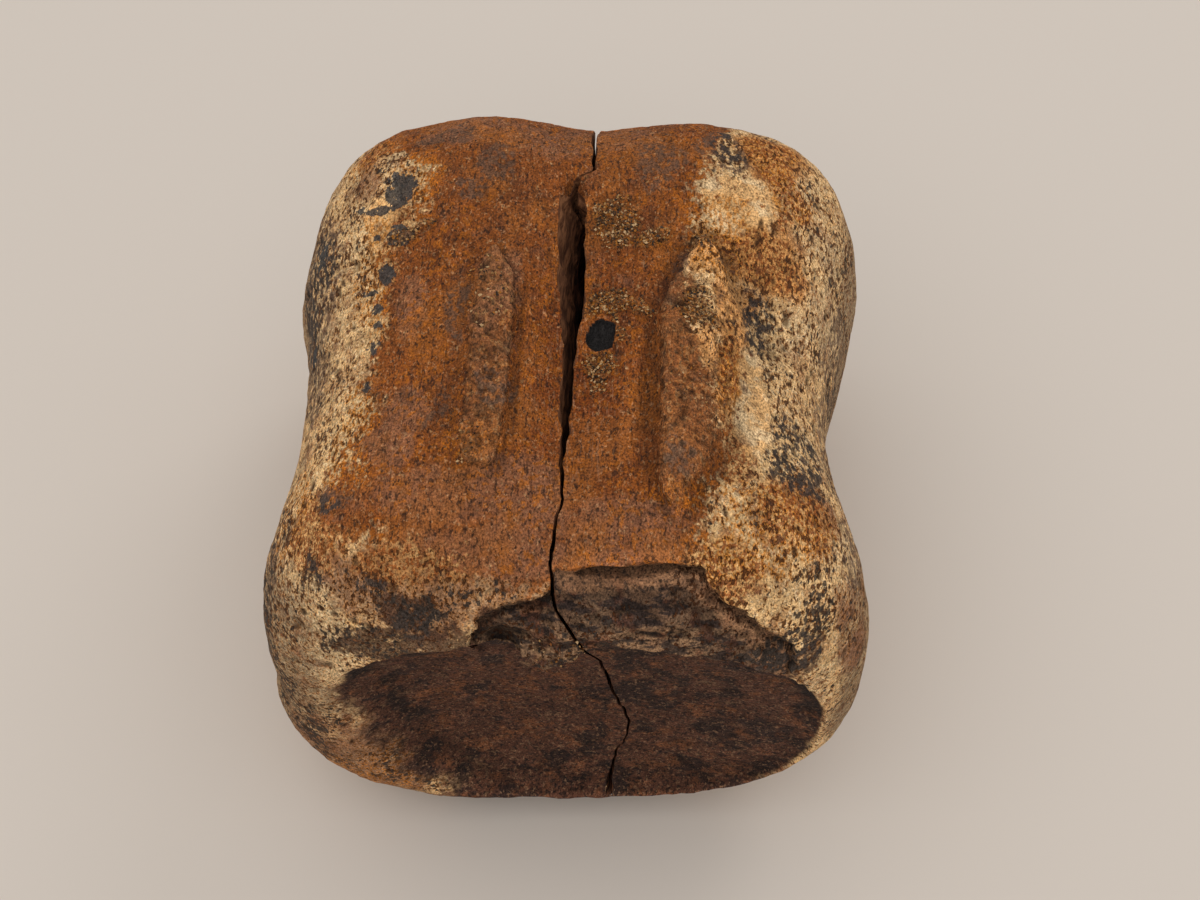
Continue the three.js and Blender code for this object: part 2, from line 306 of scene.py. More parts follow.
# %% The ledge and what is broken below it
LEDGE_X = [-13.6, -12.1, -9.1, -6.1, -2.8, -1.3, -0.8, 2, 5.6, 11.3, 16.9, 19.8, 21, 24, 28, 30.2, 34, 36.5]
LEDGE_Y = [
    -54, -48.2, -46.8, -46.3, -45.6, -44.3, -41.4, -41.6, -41.2,
    -40.7, -40.3, -40.6, -42.3, -44.7, -45.6, -46.7, -47.3, -54,
]
CREASE = {"below": 0.7, "width": 0.5, "depth": 0.8}
FLAKE_DEPTH, BLOCK_DROP = 0.9, 0.9
RIM_HOLE = {"place": (-8.4, -48.6, 70.0), "radius": 2.6, "depth": 3.4}


def broken_share(x, y, z):
    """How broken a point is (0 to 1), how deep in the crease below the ledge, and how many mm past it."""
    ragged = 1.1 * rough(np.stack([x, y, z], -1), 2.6, 3, 11)
    ragged_x = x + ragged * smooth(0.5, 4, np.abs(x + 1))  # by the crack, the ledge keeps to its line
    past = np.interp(ragged_x, LEDGE_X, LEDGE_Y) - y - 0.35 * ragged
    crease = bell(past - CREASE["below"], CREASE["width"])
    return steps((past, -0.25, 0.35), (z, 57, 62)), crease * smooth(57, 62, z), past


broken, crease, past_ledge = broken_share(x, y, z)
flaked = CREASE["depth"] * crease + (FLAKE_DEPTH + BLOCK_DROP * smooth(0, -2, x)) * broken
hole = np.prod([bell(v - v0, RIM_HOLE["radius"]) for v, v0 in zip((x, y, z), RIM_HOLE["place"])], axis=0)
lowered = flaked + RIM_HOLE["depth"] * hole
print(f"broken: {100 * np.mean(broken > 0.5):.1f}% of the points")

# %% Dish the two ends, and lean and swell the rims
TONGUE = {"x": -1, "width": 4.2, "share": 0.3}
TAN_EDGE_Z, TAN_EDGE_X = [10, 18, 28, 41, 49, 56], [-13, -22, -29, -32.5, -34.5, -35]
LEAN, SWELLING = 2.1, 1.4
FLAKE_Y, FLAKE_Z = 0.6, -0.8  # which way the skin goes where a flake has come off
tongue = TONGUE["share"] * bell(x - TONGUE["x"], TONGUE["width"]) * smooth(56, 64, z)
tongue_skin = steps((tongue, 0.1, 0.16), (z, 58, 61), (z, 73, 70), (y, -40, -44))
tan_edge = np.interp(z, TAN_EDGE_Z, TAN_EDGE_X)
shallow_corner = dish_depth(x, z, NEAR_DISH, tongue) * steps((x, tan_edge - 7, tan_edge + 8))
near_dish = np.where(y < -LENGTH / 3, shallow_corner, 0)
broken = np.maximum(broken * smooth(2.2, 0.6, near_dish), tongue_skin)
far_dish = np.where(y > LENGTH / 3, dish_depth(x, z, FAR_DISH), 0)
y = y + near_dish - far_dish - RIM_DIP["set_back"] * rim_dip
y = y + LEAN * steps((z, 34, 0), (y, -30, -45), (x, -34, 6))
y, z = y + FLAKE_Y * lowered, z + FLAKE_Z * lowered
x = x + SWELLING * bell(y - 22, 7) * np.minimum(0, np.cos(turn)) * hump(z - 42, 30)
print("near dish, mm deep:", near_dish.max().round(1), "; far dish:", far_dish.max().round(1))

# %% [markdown]
# ## Which part of the bone is which
# The stains, pores and specks each have their own ground. An image could say where they are, but it
# would tie the bone to one view. Here each ground is a soft-edged shape in millimetres on the bone,
# bent by noise. They go into the mesh as attributes, and steer the relief now and the colour later.

# %% Bent places and soft ovals
WARP, WARP_GRAIN = 2.2, 7.0
place = np.stack([x, y, z], -1)
warp = np.stack([rough(place, WARP_GRAIN, 3, 20 + 7 * k) for k in range(3)], -1)
bent = place + WARP * warp


def spots(points, places):
    """The strongest of several soft ovals. Each place is its middle x, y, z and its radii along x, y, z."""
    strongest = np.zeros(len(points))
    for x0, y0, z0, rx, ry, rz in places:
        away = np.linalg.norm((points - [x0, y0, z0]) / [rx, ry, rz], axis=-1)
        strongest = np.maximum(strongest, smooth(1.3, 0.7, away))
    return strongest


print("places bent by up to, mm:", np.abs(WARP * warp).max().round(1))

# %% [markdown]
# ## Stains made of ovals
# Most stains are a few ovals that run together. Below, every ground is a list of them: the middle
# of each on the bone, then its radii, all in millimetres. The iron spots keep most of their place,
# because they stand in a row beside the rust.

# %% Ovals for each ground
SPOTS = {
    "pink": [  # rust gone pinkish, near both ends and on the left scar
        (-20, -31, 79, 12, 5, 6), (-6, -30, 79, 7, 8, 5), (-26, -20, 77, 5, 8, 5), (8, -35, 79, 11, 4, 5),
        (-5, 40, 78, 8, 6, 6), (-20, 42, 77, 8, 5, 6), (6, 41, 78, 5, 5, 6), (-13, 6, 79, 3.4, 9, 4),
        (-26, 4, 77, 3, 6, 5), (-12, -40, 78, 14, 4, 6), (10, -40, 78, 12, 3, 6),
    ],
    "rusty": [  # pale bone that rust has veiled and speckled
        (29, 17, 76, 6.5, 7.5, 7), (33, 30, 74, 4, 7, 6), (31, 38, 73, 6, 6, 6), (23.8, -5, 78, 1.8, 9, 5),
        (24, -22, 77, 5, 6, 5), (33, -30, 73, 8, 6, 6), (24, -40, 76, 7, 5, 5), (-33, 40, 70, 6, 6, 7),
        (-29, 8, 77, 2, 22, 6), (-36, -34, 72, 6, 6, 6), (-22, -40, 77, 10, 4, 5),
    ],
    "brown": [  # brown stains on the near rim, the base and round the far face
        (-14, -46, 74, 17, 6, 8), (-27, -42, 74, 8, 5, 7), (-5, -44, 76, 7, 4, 5),
        (-34, -30, 74, 3.6, 3, 5), (-30, 42, 71, 9, 5, 9), (-35, 33, 70, 3, 7, 8), (36, -27, 71, 4, 5, 7),
        (14, -42, 76, 9, 2.5, 6), (42, -40, 60, 4, 6, 8), (-32, -48, 24, 13, 9, 18),
        (-16, -48, 8, 12, 8, 7), (0, 52, 38, 44, 5, 29), (0, -50, 6, 40, 8, 6),
    ],
    "dense": [  # where the dark specks crowd
        (34, -20, 72, 4.2, 8.5, 8), (-27, -49, 67, 9, 4, 4), (36, -40, 70, 5, 6, 6),
        (-21, -47, 73, 5, 2.5, 3), (-44, 14, 62, 3, 14, 12), (-46, -38, 46, 6, 12, 20),
        (-34, -30, 74, 2.6, 2.2, 4), (-26, -47, 20, 8, 5, 8), (-38, -46, 32, 7, 6, 12),
        (33, -47, 66, 5, 3, 4), (-20.5, -47.8, 72, 4, 2, 4), (-27, -43, 75, 2.6, 2, 3),
        (-36, -38.6, 72, 2, 2.5, 4), (-14.5, -46.3, 74, 2.6, 2.2, 3), (-16, 50, 62, 10, 4, 8),
        (-30, 40, 14, 10, 9, 9), (40, -38, 14, 8, 9, 8), (46, 8, 44, 3, 9, 12),
    ],
    "pepper": [  # specks so close that they run into ragged patches
        (34.2, -19, 72, 4, 8.5, 8), (-27, -43.5, 75, 3, 2.2, 3), (-36.4, -38.8, 72, 1.8, 2.6, 4),
        (-20.5, -48, 72, 4.5, 2, 4), (33, -47, 66, 5, 3, 4), (-43.8, 12, 64, 2, 13, 8),
        (-34, -30, 74.5, 2, 2, 3), (22, 39, 77, 3.4, 4, 5), (28.4, 4, 75, 1.8, 4, 5),
        (31, 1, 75, 1.6, 2.5, 4),
    ],
    "rim_shade": [  # painted shade below the near rim
        (-17, -49.5, 69, 7.5, 4, 4), (-27, -49, 66.4, 8, 4, 4), (-10, -48, 71, 3, 3, 3),
        (-22, -46.5, 73, 5, 2.5, 3), (32, -48, 65, 6, 4, 3),
    ],
    "peach": [  # orange-pink bone round the right scar
        (21.5, 15, 79, 5, 7, 5), (24.5, 5, 78, 4, 6, 5), (30, 17, 76, 7, 8, 7), (31, 38, 73, 7, 6, 6),
        (24, -8, 78, 3, 9, 5), (19.8, -2.6, 81, 3, 4.2, 5),
    ],
    "dusty": [  # greyer bone low on the sides, darkened there as painted shade
        (-45, -46, 50, 11, 11, 24), (47, -38, 48, 6, 14, 26), (47, 15, 45, 5, 30, 30),
        (-47, 15, 45, 5, 26, 30),
    ],
    "grey": [  # a thin grey film, and painted shade beside the left scar's left edge
        (-14.3, 32.5, 79, 3.6, 5.2, 5), (-23, 40, 77, 4.6, 2.6, 5), (-19, 27, 79, 3, 3, 5),
        (12, 33.5, 79, 4, 7, 5), (-18.5, 1, 78, 1.7, 7.5, 5), (28.4, 4, 75, 2, 5, 5),
        (15.6, 12.5, 78, 2.2, 3, 5), (-20.5, -16, 78, 1.3, 3.5, 5), (-43, 14, 64, 4, 16, 10),
        (42, -2, 60, 4, 22, 12), (22, 38, 77, 4.5, 5, 5), (-41, -6, 62, 3, 10, 8), (17, -25, 80, 2, 3, 5),
        (43, -30, 60, 3, 9, 12), (-45, -36, 56, 4, 8, 14), (-33.5, -29.5, 75, 2.4, 2.2, 4),
        (-12, -12, 79, 2.5, 3.5, 4),
    ],
    "sand": [  # where sand has stuck
        (5.0, 21.8, 79, 4.4, 4.4, 5), (10.5, 17.6, 79, 2.4, 2.0, 4), (6.4, 4.8, 77, 4.6, 2.2, 4),
        (4.5, -6.6, 77, 2.2, 3.8, 4), (8.6, 0, 77, 1.6, 3, 4), (-27, 18.7, 77, 3.0, 1.0, 4),
        (16.8, 3.2, 80, 4.2, 2.4, 4), (20, 17.5, 78, 1.4, 1.4, 4),
    ],
    "ochre": [  # yellow iron stains
        (-13.5, -21.5, 79, 4.6, 3.2, 4), (16.5, -31, 79, 5, 2.4, 4), (22, 13, 79, 4, 5, 5),
        (31, -32, 74, 11, 6, 8), (23, 22, 78, 6, 5, 5), (23.6, -8, 78, 2, 8, 5), (-27, 30, 77, 4, 6, 6),
        (-32.5, 12, 75, 3, 14, 5), (-33, -20, 75, 2.5, 12, 5), (28, -38, 75, 8, 4, 6),
        (33, 31, 74, 5, 6, 7), (-36, 38, 70, 5, 4, 7), (31, 38, 73, 5, 5, 6), (-40, -30, 67, 4, 8, 7),
        (-30, -47, 20, 9, 6, 10),
    ],
    "smooth": [  # smooth cream bone with no pores
        (26, 27, 77, 5.2, 6, 6), (27.8, -13, 75.5, 3.2, 8.5, 6), (27, -3.5, 76, 2.2, 4.5, 5),
        (-32, 22, 75, 2.4, 6, 5),
    ],
}
IRON_SPOTS = [
    (-30, 28, 77, 2.4, 4.0, 5), (-33, 24.3, 75, 2.2, 0.9, 4), (-35.8, 25.5, 74, 0.9, 0.8, 3),
    (-29, 18.6, 77, 2.0, 2.0, 4), (-30.3, 11.6, 76, 1.3, 2.9, 4), (-33, 8.4, 74, 1.4, 0.6, 3),
    (-31.4, 4.6, 75, 0.9, 1.2, 3), (-31.4, 1.9, 75, 0.5, 0.8, 3), (-31.3, -2.6, 75, 0.8, 1.2, 3),
    (-33, 19.5, 74, 0.7, 0.6, 3), (-31.5, -10, 74, 0.7, 1.2, 3), (-43, 21, 66, 0.8, 2, 4),
    (-43, 4, 60, 0.8, 2, 3),
]
IRON_BEND = 0.3
ground = {name: spots(bent, places) for name, places in SPOTS.items()}
ground["iron"] = spots(place + IRON_BEND * (bent - place), IRON_SPOTS)
print("grounds made of ovals:", len(ground))

# %% [markdown]
# ## Grounds that follow the forms
# Rust covers the top between two wandering edges. The joint face, the painted shadow band under its
# upper rim, the ledge's lit shelf and the shade below it follow the depths that made those forms.

# %% Rust, joint face and broken rim
upper_side = z > 60
RUST_EDGE_Y = [-46, -40, -31, -23, -15, -5, 0, 5, 10, 18, 25, 32, 38, 44, 55]
RUST_LEFT_X = [-33, -34, -34, -32, -31.5, -31, -31, -31, -30, -27.5, -26.5, -25, -30, -38, -40]
RUST_RIGHT_X = [17, 18, 20.5, 23, 23.5, 20, 16, 15.5, 16.5, 17.5, 20, 20.5, 21, 24, 27]
RUST_END_X, RUST_END_Y = [-34, -20, -8, -1, 0, 20], [-36, -39, -42, -44, -46, -46]
KNUCKLE_SPOTS, KNUCKLE_BARE = [(19.8, -2.6, 81, 2.6, 4.2, 5), (19.5, 11, 79, 3, 6, 5)], 0.85
TAN_SHARE = FAR_FACE_SHARE = 0.9
bx, by, bz = bent.T
left_edge, right_edge = (np.interp(by, RUST_EDGE_Y, edge) for edge in (RUST_LEFT_X, RUST_RIGHT_X))
end = np.interp(bx, RUST_END_X, RUST_END_Y)
inside = steps((bx, left_edge - 4, left_edge + 4), (bx, right_edge + 3, right_edge - 3))
inside = inside * steps((by, end - 3, end + 3), (bz, 50, 62))
ground["rust"] = inside * (1 - KNUCKLE_BARE * spots(bent, KNUCKLE_SPOTS))
ground["canal"] = hump(x - CANAL["x"], CANAL["half_width"]) * hump(y + 8, 42) * upper_side
face_floor = steps((z, 30, 14), (y, -41, -46), (x, -26, -14), (x, 45, 34))
tan_edge = np.interp(bz, TAN_EDGE_Z, TAN_EDGE_X)
tan_corner = steps((bx, tan_edge + 5, tan_edge - 5), (bz, 62, 56))
near_face = smooth(0.2, 1.6, near_dish) * (1 - tongue_skin) * (1 - TAN_SHARE * tan_corner) * (y < 0)
far_face = FAR_FACE_SHARE * smooth(0.1, 3.5, far_dish) * (y > 0)
ground["face"] = np.maximum(near_face, face_floor) + far_face
ground["broken"], ground["hole"] = broken, hole
right_of_crack = smooth(-1, 0.5, x)
ground["shelf"] = broken * smooth(3.8, 2.6, past_ledge) * right_of_crack
right_shade = steps((past_ledge, 2.8, 3.8), (past_ledge, 8.6, 6.8)) * right_of_crack
ground["shade"] = broken * np.maximum(right_shade, 0.5 * (1 - right_of_crack))
# Along the near dish's steep upper edge, under the rim: a band of painted shadow.
in_shadow_band = steps((near_dish, 0.1, 0.7), (near_dish, 3.6, 1.4), (z, 42, 52), (x, -37, -29))
ground["band"] = in_shadow_band * (y < 0)
print("grounds so far:", len(ground))

# %% Scars, the hairline and the dot
HAIRLINE_Y, HAIRLINE_X, HAIRLINE_WIDTH = [16.9, 20.5, 26.2, 29], [28.7, 28.2, 29.8, 33], 0.26
DOT_X, DOT_Y, DOT_ACROSS, DOT_ALONG = 4.0, 0.5, 2.3, 3.1
flat_x, flat_y = x + 0.25 * warp[:, 0], y + 0.25 * warp[:, 1]
left_scar = smooth(0.15, 0.7, scar_share(LEFT_SCAR, flat_x, flat_y)) * upper_side
right_scar = smooth(0.1, 0.6, scar_share(RIGHT_SCAR, flat_x, flat_y)) * upper_side
ground["scar"] = np.maximum(left_scar, right_scar)
hairline_x = np.interp(y, HAIRLINE_Y, HAIRLINE_X) + 0.3 * lattice_noise(place, 1.5, 83)
ground["hairline"] = bell(x - hairline_x, HAIRLINE_WIDTH) * steps((y, 16, 18), (y, 30, 28)) * upper_side
dot_away = np.hypot((x - DOT_X) / DOT_ACROSS, (y - DOT_Y) / DOT_ALONG) + 0.09 * lattice_noise(place, 1.6, 5)
ground["dot"] = smooth(1.08, 0.94, dot_away) * upper_side
for name, share in ground.items():
    print(f"{name:9s} covers {100 * np.mean(share > 0.5):4.1f}% of the points")

# %% [markdown]
# ## The fine relief
# Up close the skin is fibres, spongy pores and sand. Bump alone would leave the outline smooth, so
# whatever is larger than half a millimetre is moved for real, along the skin's own direction. The
# direction comes from the neighbours on the grid: across one way, across the other, and multiplied.

# %% Skin directions
ring_count = len(tilts)
grid = place[:-2].reshape(ring_count, SIDES, 3)
round_step = np.roll(grid, -1, axis=1) - np.roll(grid, 1, axis=1)
along_step = np.gradient(grid, axis=0)
outward = np.cross(along_step, round_step)
outward /= np.linalg.norm(outward, axis=-1, keepdims=True)
middle = grid.mean(axis=(0, 1))
if np.mean(np.sum(outward * (grid - middle), axis=-1)) < 0:
    outward = -outward
outward = np.concatenate([outward.reshape(-1, 3), [[0, -1, 0], [0, 1, 0]]])
print("outward directions:", outward.shape)

# %% [markdown]
# ## Pores, fibres, chips and grit
# Each kind of roughness has its own ground: long fibres on the canal floor, grit in the scars and
# the sand, open pores on the flanks and rims, and a coarse broken surface where the rim has flaked.

# %% Fine relief
RELIEF = {  # kind: its height and grain in mm, then octaves and seed of its noise
    "waves": (0.4, 13, 3, 31), "fibres": (0.17, 0.8, 2, 37), "grit": (0.42, 1.2, 2, 41),
    "torn": (0.7, 3.2, 3, 43), "splinters": (0.32, 1.2, 2, 47), "rays": (0.09, 1.4, 2, 53),
    "skin": (0.08, 1.0, 1, 71), "lumps": (0.13, 3.2, 2, 73),
}
on_canal = hump(x - CANAL["x"], 13) * hump(y - 3, 42) * upper_side
on_face = np.clip(ground["face"], 0, 1)
dish_x, dish_z = x - NEAR_DISH["x"], z - NEAR_DISH["z"]
rays = [0.12 * np.hypot(dish_x, dish_z), np.arctan2(dish_z, dish_x) * 30, 0 * x]
layered = place * [0.45, 1, 1]  # a number below 1 draws the noise out that way
coordinates = {"fibres": place * [1, 0.16, 1], "rays": np.stack(rays, -1)}
coordinates["torn"] = coordinates["splinters"] = layered
where = {
    "waves": 1 - 0.5 * on_canal, "fibres": 0.3 + on_canal, "lumps": 1 - on_canal, "rays": on_face,
    "grit": np.clip(ground["scar"] + 0.6 * ground["sand"], 0, 1), "torn": broken, "splinters": broken,
}
fine = np.zeros(len(place))
for kind, (height, grain, octaves, seed) in RELIEF.items():
    fine += height * rough(coordinates.get(kind, place), grain, octaves, seed) * where.get(kind, 1)
print("fine relief without pores, mm:", fine.min().round(2), "to", fine.max().round(2))

# %% Pores, and all the relief moved outwards
OPEN_PORES = {"cell": 1.7, "radius": 0.75, "share": 0.5, "seed": 61}
BIG_PORES = {"cell": 3.4, "radius": 1.4, "share": 0.35, "seed": 67}
PIT_DEPTHS = {"open": 0.34, "big": 0.8, "dot": 0.7, "hairline": 0.15, "sand": -0.3}  # sand stands proud
GRANULAR_PIT = (-1.6, 28, 1.9, 2.6, 2.6)  # x, y, width across and along, depth
flank = (1 - ground["rust"]) * (1 - on_face)
pale_scar = right_scar * (1 - ground["rust"])
porous = 1 - np.clip(ground["smooth"] + ground["sand"], 0, 1)
pore_place = place * [1, 0.6, 1]
pitted = {name: ground[name] for name in ("dot", "hairline", "sand")}
pitted["open"] = pits(pore_place, **OPEN_PORES) * porous * np.clip(flank + 0.15, 0, 1)
pitted["big"] = pits(pore_place, **BIG_PORES) * porous * np.clip(0.5 * flank + 1.2 * pale_scar, 0, 1)
ground["pit"] = np.clip(pitted["open"] + pitted["big"], 0, 1)
fine -= sum(depth * pitted[name] for name, depth in PIT_DEPTHS.items())
fine *= smooth(0.6, 2.5, z)  # the flats that it rests on stay flat
place = place + outward * fine[:, None]
place[:, 2] = np.maximum(place[:, 2] - bump_at(x, y, *GRANULAR_PIT) * upper_side, 0)
print("fine relief, mm:", fine.min().round(2), "to", fine.max().round(2))

# %% [markdown]
# ## Hollows and edges
# Dirt and painted shade darken the hollows, and wear and a painted highlight lighten the edges.
# A point is in a hollow when its neighbours, on average, stand further out than it does. That is
# measured close by and five points away.

# %% Hollowness of each point

def hollowness(points, apart):
    """How far the neighbours apart points away, averaged, stand outside each point: above 0 in a hollow."""
    grid = points[:-2].reshape(ring_count, SIDES, 3)
    padded = np.pad(grid, ((apart, apart), (0, 0), (0, 0)), mode="edge")
    along = padded[2 * apart :] + padded[: -2 * apart]
    about = np.roll(grid, apart, axis=1) + np.roll(grid, -apart, axis=1)
    inward = (along + about) / 4 - grid
    return np.append(np.sum(inward.reshape(-1, 3) * outward[:-2], axis=-1), [0, 0])


# A half is level ground. Small hollows count most, and the crease below the ledge gets painted shadow
# throughout.
hollow_now = 0.5 + 3.2 * hollowness(place, 1) + 0.5 * (hollowness(place, 5) + 0.05) + 0.5 * crease
ground["hollow"] = np.clip(hollow_now, 0, 1)
print("in hollows:", np.sum(ground["hollow"] > 0.6), "points")

# %% [markdown]
# ## From arrays to a mesh
# The rings become a closed skin: squares between neighbouring rings and a fan of triangles at each
# pole. One helper does this for the bone, and from_pydata with whole arrays keeps it quick.

# %% Make the bone's mesh


def ring_faces(rings, sides):
    """Squares between rings that close on themselves: each point, the next round, and both one ring on."""
    ring, spot = np.meshgrid(np.arange(rings - 1), np.arange(sides), indexing="ij")
    here = ring * sides + spot
    beside = ring * sides + (spot + 1) % sides
    return np.stack([here, here + sides, beside + sides, beside], -1).reshape(-1, 4)


def fan(tip, ring_start, sides, outward_first):
    """Triangles from one point to every neighbouring pair of a ring."""
    spot = ring_start + np.arange(sides)
    beside = ring_start + (np.arange(sides) + 1) % sides
    pair = (spot, beside) if outward_first else (beside, spot)
    return np.stack([np.full(sides, tip), *pair], -1)


def make_piece(name, points, faces, materials, attributes=None):
    """A mesh object at the origin, from points in mm; each attribute is one number a point."""
    mesh = bpy.data.meshes.new(name)
    mesh.from_pydata((points * MM).tolist(), [], [f.tolist() for part in faces for f in part])
    for material in materials:
        mesh.materials.append(material)
    for label, values in (attributes or {}).items():
        made = mesh.attributes.new(label, "FLOAT", "POINT")
        made.data.foreach_set("value", np.asarray(values, np.float32))
    mesh.shade_smooth()
    mesh.update()
    piece = bpy.data.objects.new(name, mesh)
    bpy.context.scene.collection.objects.link(piece)
    return piece


shift = np.array([*((cad_low + cad_high) / 2 - (place.min(0) + place.max(0)) / 2)[:2], 0])
near_pole, far_pole = ring_count * SIDES, ring_count * SIDES + 1
bone_faces = [
    ring_faces(ring_count, SIDES),
    fan(near_pole, 0, SIDES, True),
    fan(far_pole, (ring_count - 1) * SIDES, SIDES, False),
]
weathered = bpy.data.materials.new("weathered_fossil_bone")
broken_bone = bpy.data.materials.new("dark_bone_inside_crack")
bone = make_piece("vertebra_bone", place + shift, bone_faces, [weathered], ground)
print("bone:", len(bone.data.polygons), "faces; shift to the frame, mm:", shift.round(2))

# %% [markdown]
# ## The crack
# The crack is empty space, so it is made as a solid and cut out: a thin wedge whose two walls follow
# the same route. Each station gives its place across the bone, the gap there, where the skin is and
# where the crack dies out. The wedge starts a little outside the skin, so that the cut is open. The
# walls share one wandering line and are roughened separately, so that the lips don't match.

# %% The crack's route
CRACK_STATIONS = np.array([  # x, gap, y and z on the skin, y and z of the tip
    [2.2, 0.6, 47, 24, 42, 26], [1.6, 0.5, 46, 50, 37, 44], [1.3, 0.8, 50, 68, 36, 46],
    [1.3, 1.2, 50, 74, 35, 47], [1.3, 1.0, 45, 76, 32, 48], [1.3, 0.6, 38, 77.5, 30, 48],
    [1.6, 0.5, 32.3, 78.5, 29, 47], [0.6, 0.7, 31.7, 78.5, 28.5, 46], [-1.0, 0.8, 31, 78.5, 28, 46],
    [-1.6, 1.0, 28.8, 78.5, 27, 45], [-1.5, 4.2, 26.6, 78, 26, 44], [-1.3, 4.6, 23, 78, 22, 41],
    [-1.2, 4.5, 16, 77, 15, 38], [-0.7, 3.5, 7, 76, 6.5, 36], [-0.9, 2.5, -2.4, 76, -1.5, 36],
    [-0.6, 1.7, -12, 76.5, -10, 37], [-0.55, 1.0, -19, 77.5, -16, 37], [-0.5, 0.5, -24, 78, -20, 36],
    [-0.4, 0.35, -28.5, 78.4, -22, 36], [-0.7, 0.3, -34, 78.7, -25, 35], [-1.7, 0.5, -39.2, 78.1, -27, 34],
    [-1.5, 0.4, -41.6, 77.4, -28, 33.5], [-1.0, 0.5, -44.2, 75, -29, 33],
    [-0.4, 0.45, -46.3, 73.5, -30, 33], [1.0, 0.5, -47.5, 72.3, -31, 32],
    [2.3, 0.5, -48.8, 70.5, -31.5, 32], [3.5, 0.55, -49.2, 66.9, -32, 31],
    [4.4, 0.45, -46.5, 60, -32.5, 30.5], [6.3, 0.4, -45.5, 55.8, -33, 30],
    [7.1, 0.5, -44.5, 47.2, -33.5, 29], [8.2, 0.35, -44.4, 42.1, -34, 28], [9.5, 0.4, -44.4, 36.8, -35, 27],
    [10.8, 0.35, -44.7, 32.2, -36, 25], [10.5, 0.15, -45, 27.2, -37, 23], [9.0, 0.25, -45.3, 22.7, -38, 20],
    [8.3, 0.5, -46.2, 17.3, -40, 15], [7.8, 0.9, -47.6, 12.3, -42, 11], [7.6, 1.4, -48.5, 5, -46, 6],
])
CRACK_STEPS = 260
DEPTHS = np.concatenate([[-0.22, -0.1], np.linspace(-0.04, 0.4, 14), np.linspace(0.48, 1, 6)])
print("crack stations:", len(CRACK_STATIONS))

# %% The crack's wedge
CRACK_LEAN = 2.6  # mm that a wide stretch leans to the right on its way down
TIP_GAP = 0.16
WANDER = [(0.3, 2.0, 2, 151), (0.25, 6, 1, 157)]  # height and grain in mm, octaves, seed


def crack_walls(stations, count, depths):
    """Both walls as grids, interpolated between the stations. A depth of 0 is the skin and 1 the tip."""
    span = np.linalg.norm(np.diff(stations[:, [0, 2, 3]], axis=0), axis=1)
    reached = np.concatenate([[0], np.cumsum(span)])
    route = np.linspace(0, reached[-1], count)
    x0, gap, skin_y, skin_z, tip_y, tip_z = (np.interp(route, reached, column) for column in stations.T)
    t = depths[None, :]
    wall_y = skin_y[:, None] * (1 - t) + tip_y[:, None] * t
    wall_z = skin_z[:, None] * (1 - t) + tip_z[:, None] * t
    wide = smooth(0.6, 2.5, gap)[:, None]
    half = gap[:, None] / 2 * np.clip(1 - t, 0, 1.04) + TIP_GAP / 2
    seat = np.stack([0 * wall_y, wall_y, wall_z], -1)
    wander = sum(height * rough(seat, grain, octaves, seed) for height, grain, octaves, seed in WANDER)
    centre = x0[:, None] + CRACK_LEAN * wide * smooth(0, 0.35, t) + wander
    walls = []
    for sign, seed in ((-1, 101), (1, 131)):
        uneven = 0.14 * (0.4 + wide) * rough(seat, 2.4, 3, seed) + 0.3 * wide * rough(seat, 7, 1, seed + 5)
        keep_open = np.maximum(half + uneven * np.minimum(1, half * 3), TIP_GAP / 2)
        walls.append(np.stack([centre + sign * keep_open, wall_y, wall_z], -1))
    return walls


left_wall, right_wall = crack_walls(CRACK_STATIONS, CRACK_STEPS, DEPTHS)
wedge = np.concatenate([left_wall, right_wall[:, ::-1]], axis=1)
wedge_sides = wedge.shape[1]
ends = np.array([wedge[0].mean(0), wedge[-1].mean(0)])
wedge_points = np.concatenate([wedge.reshape(-1, 3), ends]) + shift
last_ring = (CRACK_STEPS - 1) * wedge_sides
wedge_faces = [
    ring_faces(CRACK_STEPS, wedge_sides),
    fan(len(wedge_points) - 2, 0, wedge_sides, True),
    fan(len(wedge_points) - 1, last_ring, wedge_sides, False),
]
wedge_piece = make_piece("crack_wedge", wedge_points, wedge_faces, [broken_bone])
print("crack wedge:", len(wedge_piece.data.polygons), "faces")

# %% [markdown]
# ## Cutting the crack
# The Manifold solver takes two closed meshes and carries their attributes and materials along, so
# the new walls come out in the dark inner material. The result is kept as a plain mesh, and edges
# sharper than an angle stay crisp: the lips of the crack and the broken ledges.

# %% Cut the crack out of the bone
SHARP_ANGLE = np.radians(55)


def read(data, label, width=1, kind=np.int32):
    """One property of every item of mesh data as an array, with a row for each item if it is wider than 1."""
    values = np.empty(len(data) * width, kind)
    data.foreach_get(label, values)
    return values if width == 1 else values.reshape(-1, width)


def signed_volume(mesh):
    """Volume from the triangles; it is below zero when the faces point inwards."""
    mesh.calc_loop_triangles()
    points, index = read(mesh.vertices, "co", 3, float), read(mesh.loop_triangles, "vertices", 3)
    a, b, c = points[index].transpose(1, 0, 2)
    return np.sum(a * np.cross(b, c)) / 6


for piece in (bone, wedge_piece):
    if signed_volume(piece.data) < 0:
        piece.data.flip_normals()
cut = bone.modifiers.new("crack", "BOOLEAN")
cut.operation, cut.solver, cut.material_mode = "DIFFERENCE", "MANIFOLD", "TRANSFER"
cut.object = wedge_piece
evaluated = bone.evaluated_get(bpy.context.evaluated_depsgraph_get())
cracked = bpy.data.meshes.new_from_object(evaluated)
bone.modifiers.clear()
bone.data = cracked
bpy.data.objects.remove(wedge_piece)
cracked.shade_smooth()
cracked.set_sharp_from_angle(angle=SHARP_ANGLE)
cracked.calc_loop_triangles()
volume = signed_volume(cracked) / MM**3 / 1000
print("cracked bone:", len(cracked.loop_triangles), "triangles,", round(volume), "cubic centimetres")

# %% [markdown]
# ## The lips of the crack
# The cut leaves new points along the lips, and some come out with the wedge's zeros, which would
# paint a pale line. Each such point takes the average of the skin points that it is joined to.

